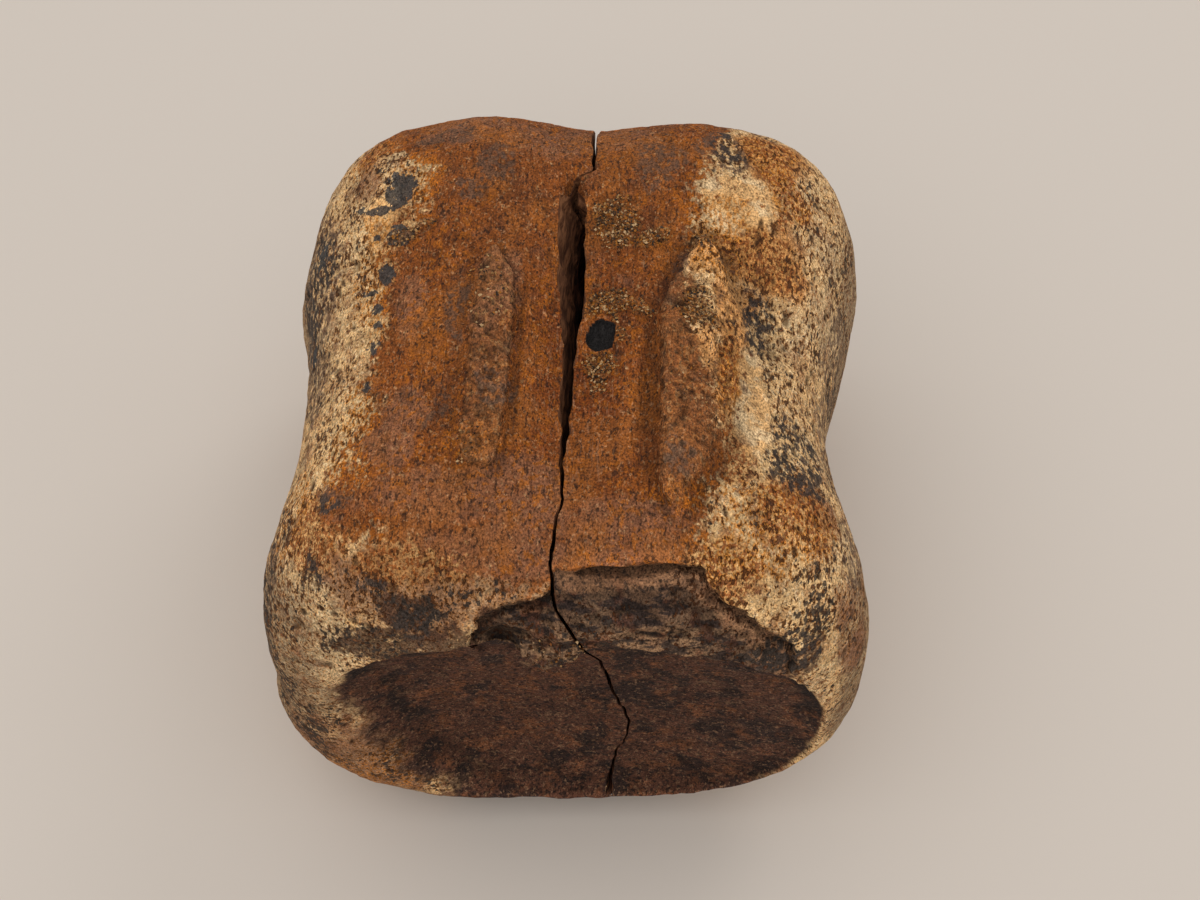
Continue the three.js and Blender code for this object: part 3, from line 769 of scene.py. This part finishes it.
# %% Colour the lips like the skin beside them
ends_a, ends_b = read(cracked.edges, "vertices", 2).T
slots = read(cracked.polygons, "material_index")
wall_corners = np.repeat(slots, read(cracked.polygons, "loop_total")) > 0
unsure = np.zeros(len(cracked.vertices), bool)
unsure[read(cracked.loops, "vertex_index")[wall_corners]] = True
join_from, join_to = np.concatenate([ends_a, ends_b]), np.concatenate([ends_b, ends_a])
layers = {name: read(cracked.attributes[name].data, "value", 1, np.float32) for name in ground}
recoloured = 0
for attempt in range(3):
    helps = unsure[join_to] & ~unsure[join_from]
    helpers = np.bincount(join_to[helps], minlength=len(unsure))
    for name, values in layers.items():
        total = np.bincount(join_to[helps], weights=values[join_from[helps]], minlength=len(unsure))
        layers[name] = np.where(helpers > 0, total / np.maximum(helpers, 1), values).astype(np.float32)
    recoloured += int(np.sum(helpers > 0))
    unsure &= helpers == 0
for name, values in layers.items():
    cracked.attributes[name].data.foreach_set("value", values)
print("lip points recoloured:", recoloured)

# %% [markdown]
# ## Sand and crumbs
# Sand has stuck to the bone in a few patches, and crumbs lie below the ledge. A texture would be too
# flat for grains that catch the light one by one. So each is an eight-sided stone pushed out of
# shape, set half into the skin, and all of them together are one piece.

# %% Scatter the grains
GRAIN_COUNT, GRAIN_RADIUS = 2400, (0.1, 0.28)
CRUMB_HEAPS = [  # place, reach, how many, largest radius
    ((-1.9, -41, 77.6), 1.0, 6, 0.42), ((2, -49.5, 66), 3.5, 26, 0.3), ((-2.5, -50, 66), 3, 24, 0.3),
    ((-13, 3, 79), 4, 60, 0.3), ((-14, 10, 79), 3, 30, 0.32), ((-14, -23, 79), 3.5, 40, 0.26),
    ((18, -12, 80), 5, 40, 0.26),
]
CRACK_MARGIN = 0.7  # mm beside the crack with no grains
SITS_OUT, SCATTER = 0.3, 0.22  # a grain's middle: its share of a radius outside the skin, and mm aside
chance = np.random.default_rng(7)
sandy = ground["sand"][:-2] ** 1.5 * smooth(1.15, 1.35, dot_away[:-2])  # none on the dot
seats = chance.choice(len(sandy), GRAIN_COUNT, p=sandy / sandy.sum())
radii = chance.uniform(*GRAIN_RADIUS, GRAIN_COUNT)
for spot, reach, count, largest in CRUMB_HEAPS:
    near = np.flatnonzero(np.linalg.norm(place - spot, axis=-1) < reach)
    seats = np.append(seats, chance.choice(near, count))
    radii = np.append(radii, chance.uniform(0.4, 1, count) * largest)
top_route = CRACK_STATIONS[20:2:-1]
crack_x, crack_gap = (np.interp(place[seats, 1], top_route[:, 2], top_route[:, k]) for k in (0, 1))
clear = (np.abs(place[seats, 0] - crack_x) > crack_gap / 2 + CRACK_MARGIN) | (place[seats, 2] < 70)
seats, radii = seats[clear], radii[clear]
aside = chance.uniform(-SCATTER, SCATTER, (len(seats), 3)) * [1, 1, 0.2]
middles = place[seats] + outward[seats] * SITS_OUT * radii[:, None] + aside
print("seats for grains:", len(seats))

# %% Shape the grains
OUT_OF_SHAPE = 0.42  # of a radius, that each tip may move
tips = np.array([[1, 0, 0], [-1, 0, 0], [0, 1, 0], [0, -1, 0], [0, 0, 1], [0, 0, -1]])
sides = np.array([[0, 2, 4], [2, 1, 4], [1, 3, 4], [3, 0, 4], [2, 0, 5], [1, 2, 5], [3, 1, 5], [0, 3, 5]])
corners = tips + chance.uniform(-OUT_OF_SHAPE, OUT_OF_SHAPE, (len(seats), 6, 3))
grain_points = (middles[:, None, :] + corners * radii[:, None, None]).reshape(-1, 3) + shift
grain_faces = (sides[None, :, :] + 6 * np.arange(len(seats))[:, None, None]).reshape(-1, 3)
sand_grain = bpy.data.materials.new("grains_of_sand")
luck = np.repeat(chance.uniform(0, 1, len(seats)), 6)
sand = make_piece("sand_grains", grain_points, [grain_faces], [sand_grain], {"luck": luck})
sand.data.shade_flat()
print("grain triangles:", len(grain_faces))

# %% [markdown]
# ## Colours and the one node helper
# Colours are written as the hex values one would read off a screen, and turned to the linear
# values that light works with. Every shader node below is added by the same small function.

# %% Colour and node helpers


def linear(code):
    """sRGB hex to linear red, green, blue and alpha: each channel is undone from its screen curve."""
    channel = np.array([int(code[i : i + 2], 16) for i in (1, 3, 5)]) / 255
    return (*np.where(channel <= 0.04045, channel / 12.92, ((channel + 0.055) / 1.055) ** 2.4).tolist(), 1.0)


def add(tree, kind, inputs=None, **settings):
    """Adds one node. settings are its own options; inputs are values, or sockets to join to."""
    made = tree.nodes.new(kind)
    for key, value in settings.items():
        setattr(made, key, value)
    for key, value in (inputs or {}).items():
        if isinstance(value, bpy.types.NodeSocket):
            tree.links.new(value, made.inputs[key])
        else:
            made.inputs[key].default_value = value
    return made


print("rust brown in linear light:", np.round(linear("#8c4d20")[:3], 3))

# %% [markdown]
# ## Weathered fossil bone
# The material is bone whose pores have filled with iron minerals and silica: a matt stone with a
# faint waxy sheen, about 0.75 rough, index 1.5. Its colour is cream where clean, rust where iron
# soaked in, nearly black where manganese grew, and dark brown on the joint face. Each is a layer
# over the last, held back by the bone's attributes and made ragged by noise of its own grain.
# signal holds every number from 0 to 1 that the layers use, by name, so that they can share them.

# %% Patterns of the bone material
weathered.use_nodes = True
tree = weathered.node_tree
tree.nodes.clear()
position = add(tree, "ShaderNodeTexCoord").outputs["Object"]
NOISES = {  # grain in mm along X, Y and Z, and octaves; a longer Y follows the bone's fibres
    "cloud": (13, 15.6, 13, 2), "patch": (6, 6, 6, 4), "mottle": (3.4, 4.08, 3.4, 4), "tone": (8, 12, 8, 2),
    "clusters": (5.5, 7.7, 5.5, 2), "fibre": (0.45, 4.05, 0.45, 2), "flecks": (0.6, 0.84, 0.6, 3),
    "grain": (0.3, 0.39, 0.3, 2), "dust": (1.05, 1.365, 1.05, 3), "specks": (0.8, 1.52, 0.8, 3),
    "pores": (0.6, 1.14, 0.6, 2), "layered": (4.5, 1.5, 1.5, 4),
}
NOISE_ROUGHNESS = 0.6
SAND_GRAIN = 0.42
signal = {}
for name, (*sizes, octaves) in NOISES.items():
    scale = (1 / (np.array(sizes) * MM)).tolist()
    placed = add(tree, "ShaderNodeMapping", {"Vector": position, "Scale": scale}).outputs[0]
    settings = {"Vector": placed, "Scale": 1, "Detail": octaves, "Roughness": NOISE_ROUGHNESS}
    signal[name] = add(tree, "ShaderNodeTexNoise", settings).outputs["Fac"]
placed = add(tree, "ShaderNodeMapping", {"Vector": position, "Scale": [1 / (SAND_GRAIN * MM)] * 3}).outputs[0]
grains = add(tree, "ShaderNodeTexVoronoi", {"Vector": placed, "Scale": 1}).outputs["Color"]
signal["grain_luck"] = add(tree, "ShaderNodeSeparateColor", {"Color": grains}).outputs["Green"]
print(len(NOISES), "noises and one pattern of sand grains")

# %% [markdown]
# ## Ragged edges
# A ground ends softly, and stains end in ragged fingers. So a noise is added to the ground, times
# how far it reaches, and the sum is cut at a half, with a little softness.

# %% Ragged edges for each ground
EDGES = {  # ground: the noise that frays it, how far, and how soft the edge is
    "rust": ("dust", 2.4, 0.3), "brown": ("mottle", 2.2, 0.5), "face": ("mottle", 1.4, 0.4),
    "iron": ("dust", 3.4, 0.1), "grey": ("dust", 2.4, 0.4), "sand": ("flecks", 2.4, 0.1),
    "ochre": ("dust", 2.6, 0.4), "scar": ("dust", 0.8, 0.3), "smooth": ("mottle", 0.9, 0.4),
    "dot": ("grain", 0.4, 0.12), "broken": ("flecks", 0.9, 0.25), "pit": ("grain", 0.8, 0.3),
    "pink": ("mottle", 2.6, 0.5), "rusty": ("dust", 2.0, 0.5), "hairline": ("grain", 0.5, 0.25),
    "canal": ("mottle", 1.0, 0.5), "band": ("dust", 1.2, 0.4), "peach": ("mottle", 1.8, 0.5),
    "pepper": ("mottle", 1.8, 0.4), "dusty": ("mottle", 1.6, 0.6), "rim_shade": ("dust", 3.0, 0.3),
    "shelf": ("dust", 1.6, 0.35), "shade": ("dust", 1.8, 0.35),
}
for name, (noise, reach, softness) in EDGES.items():
    share = add(tree, "ShaderNodeAttribute", attribute_name=name).outputs["Fac"]
    lowered = add(tree, "ShaderNodeMath", {0: share, 1: 0.5 * reach}, operation="SUBTRACT").outputs[0]
    pushed = {0: signal[noise], 1: reach, 2: lowered}
    pushed = add(tree, "ShaderNodeMath", pushed, operation="MULTIPLY_ADD").outputs[0]
    edge = {"Value": pushed, "From Min": 0.5 - softness, "From Max": 0.5 + softness}
    signal[name] = add(tree, "ShaderNodeMapRange", edge, interpolation_type="SMOOTHSTEP").outputs["Result"]
print("frayed:", ", ".join(EDGES))

# %% Grounds as they are, and the rest of the bone outside a ground
PLAIN_GROUNDS = {"iron_place": "iron", "hole": "hole", "dense": "dense", "hollow": "hollow"}
OUTSIDE = {"rust": 1, "face": 1, "smooth": 1, "rusty": 0.75}  # ground, and how much of it is held back
for name, attribute in PLAIN_GROUNDS.items():
    signal[name] = add(tree, "ShaderNodeAttribute", attribute_name=attribute).outputs["Fac"]
for name, strength in OUTSIDE.items():
    rest = {0: signal[name], 1: -strength, 2: 1.0}
    signal["off_" + name] = add(tree, "ShaderNodeMath", rest, operation="MULTIPLY_ADD").outputs[0]
print("outside:", ", ".join(OUTSIDE))

# %% [markdown]
# ## Pores and specks
# A speck is wherever a noise stands above a height. A coarser noise moves that height up and down,
# so that specks crowd in one place and are rare in the next, as they are on bone. Discs from a cell
# pattern were the other choice, but they look printed.

# %% Scattered marks
MARKS = {  # noise, what the clusters add, what a dense ground adds, and where a mark starts and is full
    "speck": ("specks", 0.4, 0.1, 0.82, 0.85), "fine_speck": ("dust", 0.3, 0.06, 0.79, 0.82),
    "pore": ("pores", 0.35, 0.03, 0.755, 0.795), "halo": ("pores", 0.35, 0.03, 0.675, 0.75),
}
for name, (noise, cluster_help, dense_help, start, full) in MARKS.items():
    height = signal[noise]
    for helper, strength in (("clusters", cluster_help), ("dense", dense_help)):
        raised = {0: signal[helper], 1: strength, 2: height}
        height = add(tree, "ShaderNodeMath", raised, operation="MULTIPLY_ADD").outputs[0]
    edge = {"Value": height, "From Min": start, "From Max": full}
    signal[name] = add(tree, "ShaderNodeMapRange", edge, interpolation_type="SMOOTHSTEP").outputs["Result"]
print("marks:", ", ".join(MARKS))

# %% [markdown]
# ## Layers of colour
# The layers go on in the order the bone got them: clean bone, ochre and rust that soaked in, the
# dark joint face and the broken rim, then pores, specks, manganese and the sand that stuck on last.
# A layer is as strong as its strength times each of its shares. A share is a signal's name, or a
# signal with the values where it starts and is full, in brackets.

# %% The table of layers
LAYERS = [  # what it is, its colour, its strength, and its shares
    ("tan bone", "#b58a5e", 0.7, ("mottle", 0.44, 0.64)),
    ("grey cast", "#a3947a", 0.35, ("cloud", 0.48, 0.66)),
    ("ivory flecks", "#ecd0a5", 0.6, ("flecks", 0.52, 0.62), "off_rust"),
    # grey dust and painted shade low on the sides
    ("dusty side with painted shade", "#7d6b56", 0.65, "dusty"),
    ("peach", "#cf8740", 0.6, "peach"),
    ("smooth cream", "#e9b578", 0.85, "smooth"),
    ("whitish blotches", "#f0dcb4", 0.45, "smooth", ("patch", 0.5, 0.58)),
    ("brown veil", "#80523a", 0.75, "brown"),
    ("rusty veil", "#c08443", 0.5, "rusty"),
    ("halos", "#b0702f", 0.5, "halo", "off_smooth"),
    ("ochre stain", "#c4781f", 0.7, ("pores", 0.44, 0.56), "ochre"),
    ("rusty specks", "#8a4819", 0.85, ("flecks", 0.49, 0.53), "rusty", "off_smooth"),
    # painted shade below the near rim, where it overhangs the dish
    ("rim shade", "#4a3226", 0.85, "rim_shade"),
    ("rust", "#8c4d20", 1.0, "rust"),
    ("deep rust", "#5b321d", 0.6, "rust", ("patch", 0.48, 0.66)),
    ("red rust", "#7c3913", 0.6, "rust", "canal"),
    ("pink rust", "#95674c", 0.55, "rust", "pink"),
    ("light rust", "#a8642a", 0.5, "rust", ("tone", 0.46, 0.62)),
    ("orange rust", "#b4640f", 0.7, "rust", ("dust", 0.5, 0.62), ("cloud", 0.4, 0.56)),
    ("pale fibres", "#aa7c5c", 0.55, "rust", "canal", ("fibre", 0.55, 0.66)),
    ("dark fibres", "#42251a", 0.55, "rust", ("fibre", 0.43, 0.32)),
    ("ochre grains in rust", "#cc741a", 0.75, "rust", "ochre", ("pores", 0.46, 0.54)),
    ("pale chips in rust", "#c9976c", 0.5, "rust", ("flecks", 0.59, 0.66)),
    ("dark grains in rust", "#32221a", 0.75, "rust", ("pores", 0.57, 0.65)),
    ("scar", "#7d5638", 0.4, "scar", "rust"),
    ("scar, olive mottles", "#453421", 0.5, "scar", "rust", ("mottle", 0.52, 0.62)),
    ("scar, tan mottles", "#b08658", 0.4, "scar", "rust", ("dust", 0.56, 0.64)),
    ("joint face", "#5f3d2e", 1.0, "face"),
    ("joint face, warm", "#8a5636", 0.65, "face", ("mottle", 0.46, 0.6), ("tone", 0.42, 0.56)),
    ("joint face, dark", "#2c2220", 0.8, "face", ("patch", 0.5, 0.58)),
    ("joint face, black", "#1c1817", 0.75, "face", ("pores", 0.53, 0.6)),
    ("joint face, pale", "#a07a5c", 0.5, "face", ("flecks", 0.57, 0.63)),
    # painted shadow along the near dish's upper edge, under the rim
    ("painted shadow under the near rim", "#231a18", 0.85, "band", "face"),
    ("broken rim", "#85644a", 0.92, "broken"),
    ("broken rim, dark", "#2a2322", 0.88, "broken", ("layered", 0.47, 0.56)),
    ("broken rim, red", "#6d3f29", 0.6, "broken", ("mottle", 0.54, 0.62)),
    ("broken rim, lit shelf", "#93694a", 0.6, "broken", "shelf"),
    ("broken rim, shade", "#2e2320", 0.5, "broken", "shade"),
    # painted shadow inside the hole in the broken rim
    ("broken rim, painted shadow in the hole", "#1e1512", 0.85, "hole"),
    ("broken rim, specks", "#2b2420", 0.7, "broken", ("pores", 0.56, 0.62)),
    # grey film, and painted shade beside the left scar
    ("grey veil and painted shade", "#5f4a3d", 0.75, "grey", ("dust", 0.4, 0.56)),
    ("pores", "#4c2a12", 0.9, "pore", "off_rust", "off_face", "off_smooth"),
    ("pits", "#4a2a16", 0.7, "pit", "off_rust"),
    ("specks", "#3d342d", 0.92, "speck", "off_rust", "off_face", "off_smooth", "off_rusty"),
    ("peppered patches", "#423a35", 0.85, "pepper", ("dust", 0.48, 0.53), "off_face"),
    ("fine specks", "#40342b", 0.85, "fine_speck", "off_rust", "off_face", "off_smooth", "off_rusty"),
    ("manganese", "#444240", 0.92, "iron", ("iron_place", 0.05, 0.3)),
    ("sand", "#8a5a2a", 0.4, "sand"),
    ("sand, dark", "#2b2119", 0.7, "sand", ("grain_luck", 0.68, 0.73)),
    ("hairline", "#6a4424", 0.8, "hairline"),
    ("dot", "#2b2827", 1.0, "dot"),
]
CLEAN_BONE = "#dcb27c"
print(len(LAYERS), "layers over clean bone")

# %% Lay the colours over each other
colour = add(tree, "ShaderNodeRGB").outputs[0]
colour.default_value = linear(CLEAN_BONE)
for what, code, strength, *shares in LAYERS:
    total = strength
    for share in shares:
        if isinstance(share, tuple):
            edge = {"Value": signal[share[0]], "From Min": share[1], "From Max": share[2]}
            part = add(tree, "ShaderNodeMapRange", edge, interpolation_type="SMOOTHSTEP").outputs["Result"]
        else:
            part = signal[share]
        total = add(tree, "ShaderNodeMath", {0: part, 1: total}, operation="MULTIPLY").outputs[0]
    layer = {0: total, 6: colour, 7: linear(code)}
    colour = add(tree, "ShaderNodeMix", layer, data_type="RGBA", label=what).outputs[2]
print("nodes so far:", len(tree.nodes))

# %% [markdown]
# ## Grain, dirt and painted cavity shading, gloss and bump
# Over all the layers goes a fine grain that darkens or lightens by up to two thirds, as crystals and
# the smallest pores do. Hollows get darker, from dirt and painted shade, and edges lighter, from wear
# and a painted highlight. The bump holds only what is too fine for the mesh: grain, flecks, fibres,
# grit in the scars, and the pores' sharp edges.

# %% Finish the bone material
# The second shade darkens hollows and lightens edges: dirt and wear, with painted shade in the hollows and a
# painted highlight on the edges.
SHADES = {"grain_shade": ("grain", 0.3, 0.7, 0.37, 1.63), "dirt_and_painted_cavity_shading": ("hollow", 0.1, 0.9, 1.45, 0.55)}
BUMP_HEIGHTS = {"open_pore": -0.5, "grain": 0.6, "rugged": 1.4, "flecks": 1.0, "fibre": 0.45}
BUMP_DEPTH = 0.7  # mm
PRODUCTS = {
    "open_pore": ("pore", "off_rust", "off_face", "off_smooth"), "rugged": ("scar", "dust"),
    "shade_now": ("grain_shade", "dirt_and_painted_cavity_shading"),
}
for name, (source, low, high, first, last) in SHADES.items():
    span = {"Value": signal[source], "From Min": low, "From Max": high, "To Min": first, "To Max": last}
    signal[name] = add(tree, "ShaderNodeMapRange", span).outputs["Result"]
for name, factors in PRODUCTS.items():
    signal[name] = 1.0
    for factor in factors:
        pair = {0: signal[factor], 1: signal[name]}
        signal[name] = add(tree, "ShaderNodeMath", pair, operation="MULTIPLY").outputs[0]
shading = {0: 1.0, 6: colour, 7: signal["shade_now"]}
shaded = add(tree, "ShaderNodeMix", shading, data_type="RGBA", blend_type="MULTIPLY").outputs[2]
lumps = 0.0
for name, height in BUMP_HEIGHTS.items():
    raised = {0: signal[name], 1: height, 2: lumps}
    lumps = add(tree, "ShaderNodeMath", raised, operation="MULTIPLY_ADD").outputs[0]
bump = add(tree, "ShaderNodeBump", {"Height": lumps, "Strength": 1.0, "Distance": BUMP_DEPTH * MM})
gloss = add(tree, "ShaderNodeMapRange", {"Value": signal["mottle"], "To Min": 0.62, "To Max": 0.88})
surface = add(tree, "ShaderNodeBsdfPrincipled", {
    "Base Color": shaded, "Roughness": gloss.outputs["Result"], "IOR": 1.5,
    "Specular IOR Level": 0.15, "Normal": bump.outputs["Normal"],
})
add(tree, "ShaderNodeOutputMaterial", {"Surface": surface.outputs["BSDF"]})
print("bone material:", len(tree.nodes), "nodes")

# %% [markdown]
# ## Dark bone inside the crack
# The walls of the crack are split spongy bone, stained dark brown by minerals. They are dull, with
# fibres along the bone, and paler towards the lips on top.

# %% The crack's walls
broken_bone.use_nodes = True
tree = broken_bone.node_tree
tree.nodes.clear()
FIBRE_SIZES = np.array([0.8, 5.0, 1.0])
LIP_HEIGHTS = (66, 79)  # mm above the floor, where the lips' paler colours start and are full
WALL_COLOURS = {"deep": (0.4, 0.65, "#2a1a12", "#84543a"), "lip": (0.35, 0.7, "#6d432d", "#b98258")}
position = add(tree, "ShaderNodeTexCoord").outputs["Object"]
scale = (1 / (FIBRE_SIZES * MM)).tolist()
placed = add(tree, "ShaderNodeMapping", {"Vector": position, "Scale": scale}).outputs[0]
settings = {"Vector": placed, "Scale": 1, "Detail": 4, "Roughness": 0.65}
fibre = add(tree, "ShaderNodeTexNoise", settings).outputs["Fac"]
wall = {}
for name, (low, high, dark, light) in WALL_COLOURS.items():
    edge = {"Value": fibre, "From Min": low, "From Max": high}
    share = add(tree, "ShaderNodeMapRange", edge, interpolation_type="SMOOTHSTEP").outputs["Result"]
    blend = {0: share, 6: linear(dark), 7: linear(light)}
    wall[name] = add(tree, "ShaderNodeMix", blend, data_type="RGBA").outputs[2]
height = add(tree, "ShaderNodeSeparateXYZ", {"Vector": position}).outputs["Z"]
rise = {"Value": height, "From Min": LIP_HEIGHTS[0] * MM, "From Max": LIP_HEIGHTS[1] * MM}
rise = add(tree, "ShaderNodeMapRange", rise).outputs["Result"]
both = add(tree, "ShaderNodeMix", {0: rise, 6: wall["deep"], 7: wall["lip"]}, data_type="RGBA").outputs[2]
bump = add(tree, "ShaderNodeBump", {"Height": fibre, "Strength": 1.0, "Distance": 0.5 * MM})
surface = add(tree, "ShaderNodeBsdfPrincipled", {
    "Base Color": both, "Roughness": 0.9, "IOR": 1.5,
    "Specular IOR Level": 0.2, "Normal": bump.outputs["Normal"],
})
add(tree, "ShaderNodeOutputMaterial", {"Surface": surface.outputs["BSDF"]})
print("crack material:", len(tree.nodes), "nodes")

# %% [markdown]
# ## Sand
# The grains are quartz and bits of bone stained by the same iron: dark, khaki, orange and pale ones
# beside each other. Each grain has one number by chance, and it picks the colour from a row.

# %% Sand grains
sand_grain.use_nodes = True
tree = sand_grain.node_tree
tree.nodes.clear()
GRAIN_COLOURS = ["#2f241b", "#6b4a28", "#a5671f", "#44301e", "#b08550", "#8c5526", "#c9a577", "#7a4a24"]
luck = add(tree, "ShaderNodeAttribute", attribute_name="luck").outputs["Fac"]
row = add(tree, "ShaderNodeValToRGB", {0: luck})
row.color_ramp.interpolation = "CONSTANT"
for step, code in enumerate(GRAIN_COLOURS):
    stop = row.color_ramp.elements[0] if step == 0 else row.color_ramp.elements.new(step / len(GRAIN_COLOURS))
    stop.color = linear(code)
quartz = {"Base Color": row.outputs[0], "Roughness": 0.6, "IOR": 1.5, "Specular IOR Level": 0.35}
surface = add(tree, "ShaderNodeBsdfPrincipled", quartz)
add(tree, "ShaderNodeOutputMaterial", {"Surface": surface.outputs["BSDF"]})
print("sand colours:", len(GRAIN_COLOURS))

# %% [markdown]
# ## The stage
# A plain pale floor, one wide soft lamp overhead, a little to the front and left, and a weak small
# one behind and to the right. About half of the light comes from all round, as in a white room.
# Together they give the photograph's soft shadow close around the bone.

# %% Floor
FLOOR_HALF = 1.2
corners = [(-FLOOR_HALF, -FLOOR_HALF, 0), (FLOOR_HALF, -FLOOR_HALF, 0), (FLOOR_HALF, FLOOR_HALF, 0)]
floor_mesh = bpy.data.meshes.new("floor")
floor_mesh.from_pydata([*corners, (-FLOOR_HALF, FLOOR_HALF, 0)], [], [(0, 1, 2, 3)])
floor = bpy.data.objects.new("floor", floor_mesh)
bpy.context.scene.collection.objects.link(floor)
paper = bpy.data.materials.new("pale_paper")  # uncoated matt paper: even and without any gloss
paper.use_nodes = True
for key, value in {"Base Color": linear("#d9cfc5"), "Roughness": 0.9, "Specular IOR Level": 0.1}.items():
    paper.node_tree.nodes["Principled BSDF"].inputs[key].default_value = value
floor_mesh.materials.append(paper)
print("floor, m:", 2 * FLOOR_HALF)

# %% Lights
LIGHTS = {  # place, size across, watts
    "window": ((0.5, 0.6, 0.8), 0.5, 1.2),
    "ceiling": ((-0.2, -0.3, 1.2), 1.8, 7.0),
}
LAMP_TARGET = [0, 0, 0.04]
for name, (spot, size, watts) in LIGHTS.items():
    lamp = bpy.data.lights.new(name, "AREA")
    lamp.shape, lamp.size, lamp.energy = "DISK", size, watts
    holder = bpy.data.objects.new(name, lamp)
    back = np.array(spot) - LAMP_TARGET
    back = back / np.linalg.norm(back)
    across = np.cross([0, 0, 1], back)
    across = across / np.linalg.norm(across)
    aim = Matrix(np.stack([across, np.cross(back, across), back], -1).tolist())
    holder.location, holder.rotation_euler = spot, aim.to_euler()
    bpy.context.scene.collection.objects.link(holder)
world = bpy.data.worlds.new("room")
world.use_nodes = True
for key, value in {"Color": linear("#fffdfa"), "Strength": 0.56}.items():
    world.node_tree.nodes["Background"].inputs[key].default_value = value
bpy.context.scene.world = world
bpy.context.scene.view_settings.view_transform = "Standard"
print("lights:", ", ".join(LIGHTS))

# %% [markdown]
# ## The camera
# The photograph looks down on the bone at about 57 degrees, almost straight along it. The lens was
# found from how much smaller the far rim looks than the near one.

# %% Camera
IMAGE_WIDTH = 1200
FOCAL_PIXELS = 1800
SENSOR = 36
ELEVATION, AZIMUTH, ROLL = np.radians([57.5, 1.85, 0.6])
DISTANCE = 311
LOOK_AT = np.array([4.0, 2.3, 40]) + shift
level, ahead = np.array([[np.cos(AZIMUTH), np.sin(AZIMUTH), 0], [-np.sin(AZIMUTH), np.cos(AZIMUTH), 0]])
forward = ahead * np.cos(ELEVATION) - np.array([0, 0, np.sin(ELEVATION)])
upright = np.cross(level, forward)
right = level * np.cos(ROLL) + upright * np.sin(ROLL)
up = upright * np.cos(ROLL) - level * np.sin(ROLL)
camera_data = bpy.data.cameras.new("camera")
camera_data.sensor_width = SENSOR
camera_data.lens = FOCAL_PIXELS / IMAGE_WIDTH * SENSOR
camera_data.clip_start = 0.01
camera = bpy.data.objects.new("camera", camera_data)
turned = Matrix(np.stack([right, up, -forward], -1).tolist()).to_4x4()
camera.matrix_world = Matrix.Translation(((LOOK_AT - forward * DISTANCE) * MM).tolist()) @ turned
bpy.context.scene.collection.objects.link(camera)
bpy.context.scene.camera = camera
print("lens, mm:", camera_data.lens)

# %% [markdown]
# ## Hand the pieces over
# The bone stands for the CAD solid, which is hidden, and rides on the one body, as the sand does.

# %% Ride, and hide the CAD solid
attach(bone, "root")
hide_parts("vertebra")
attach(sand, "root")
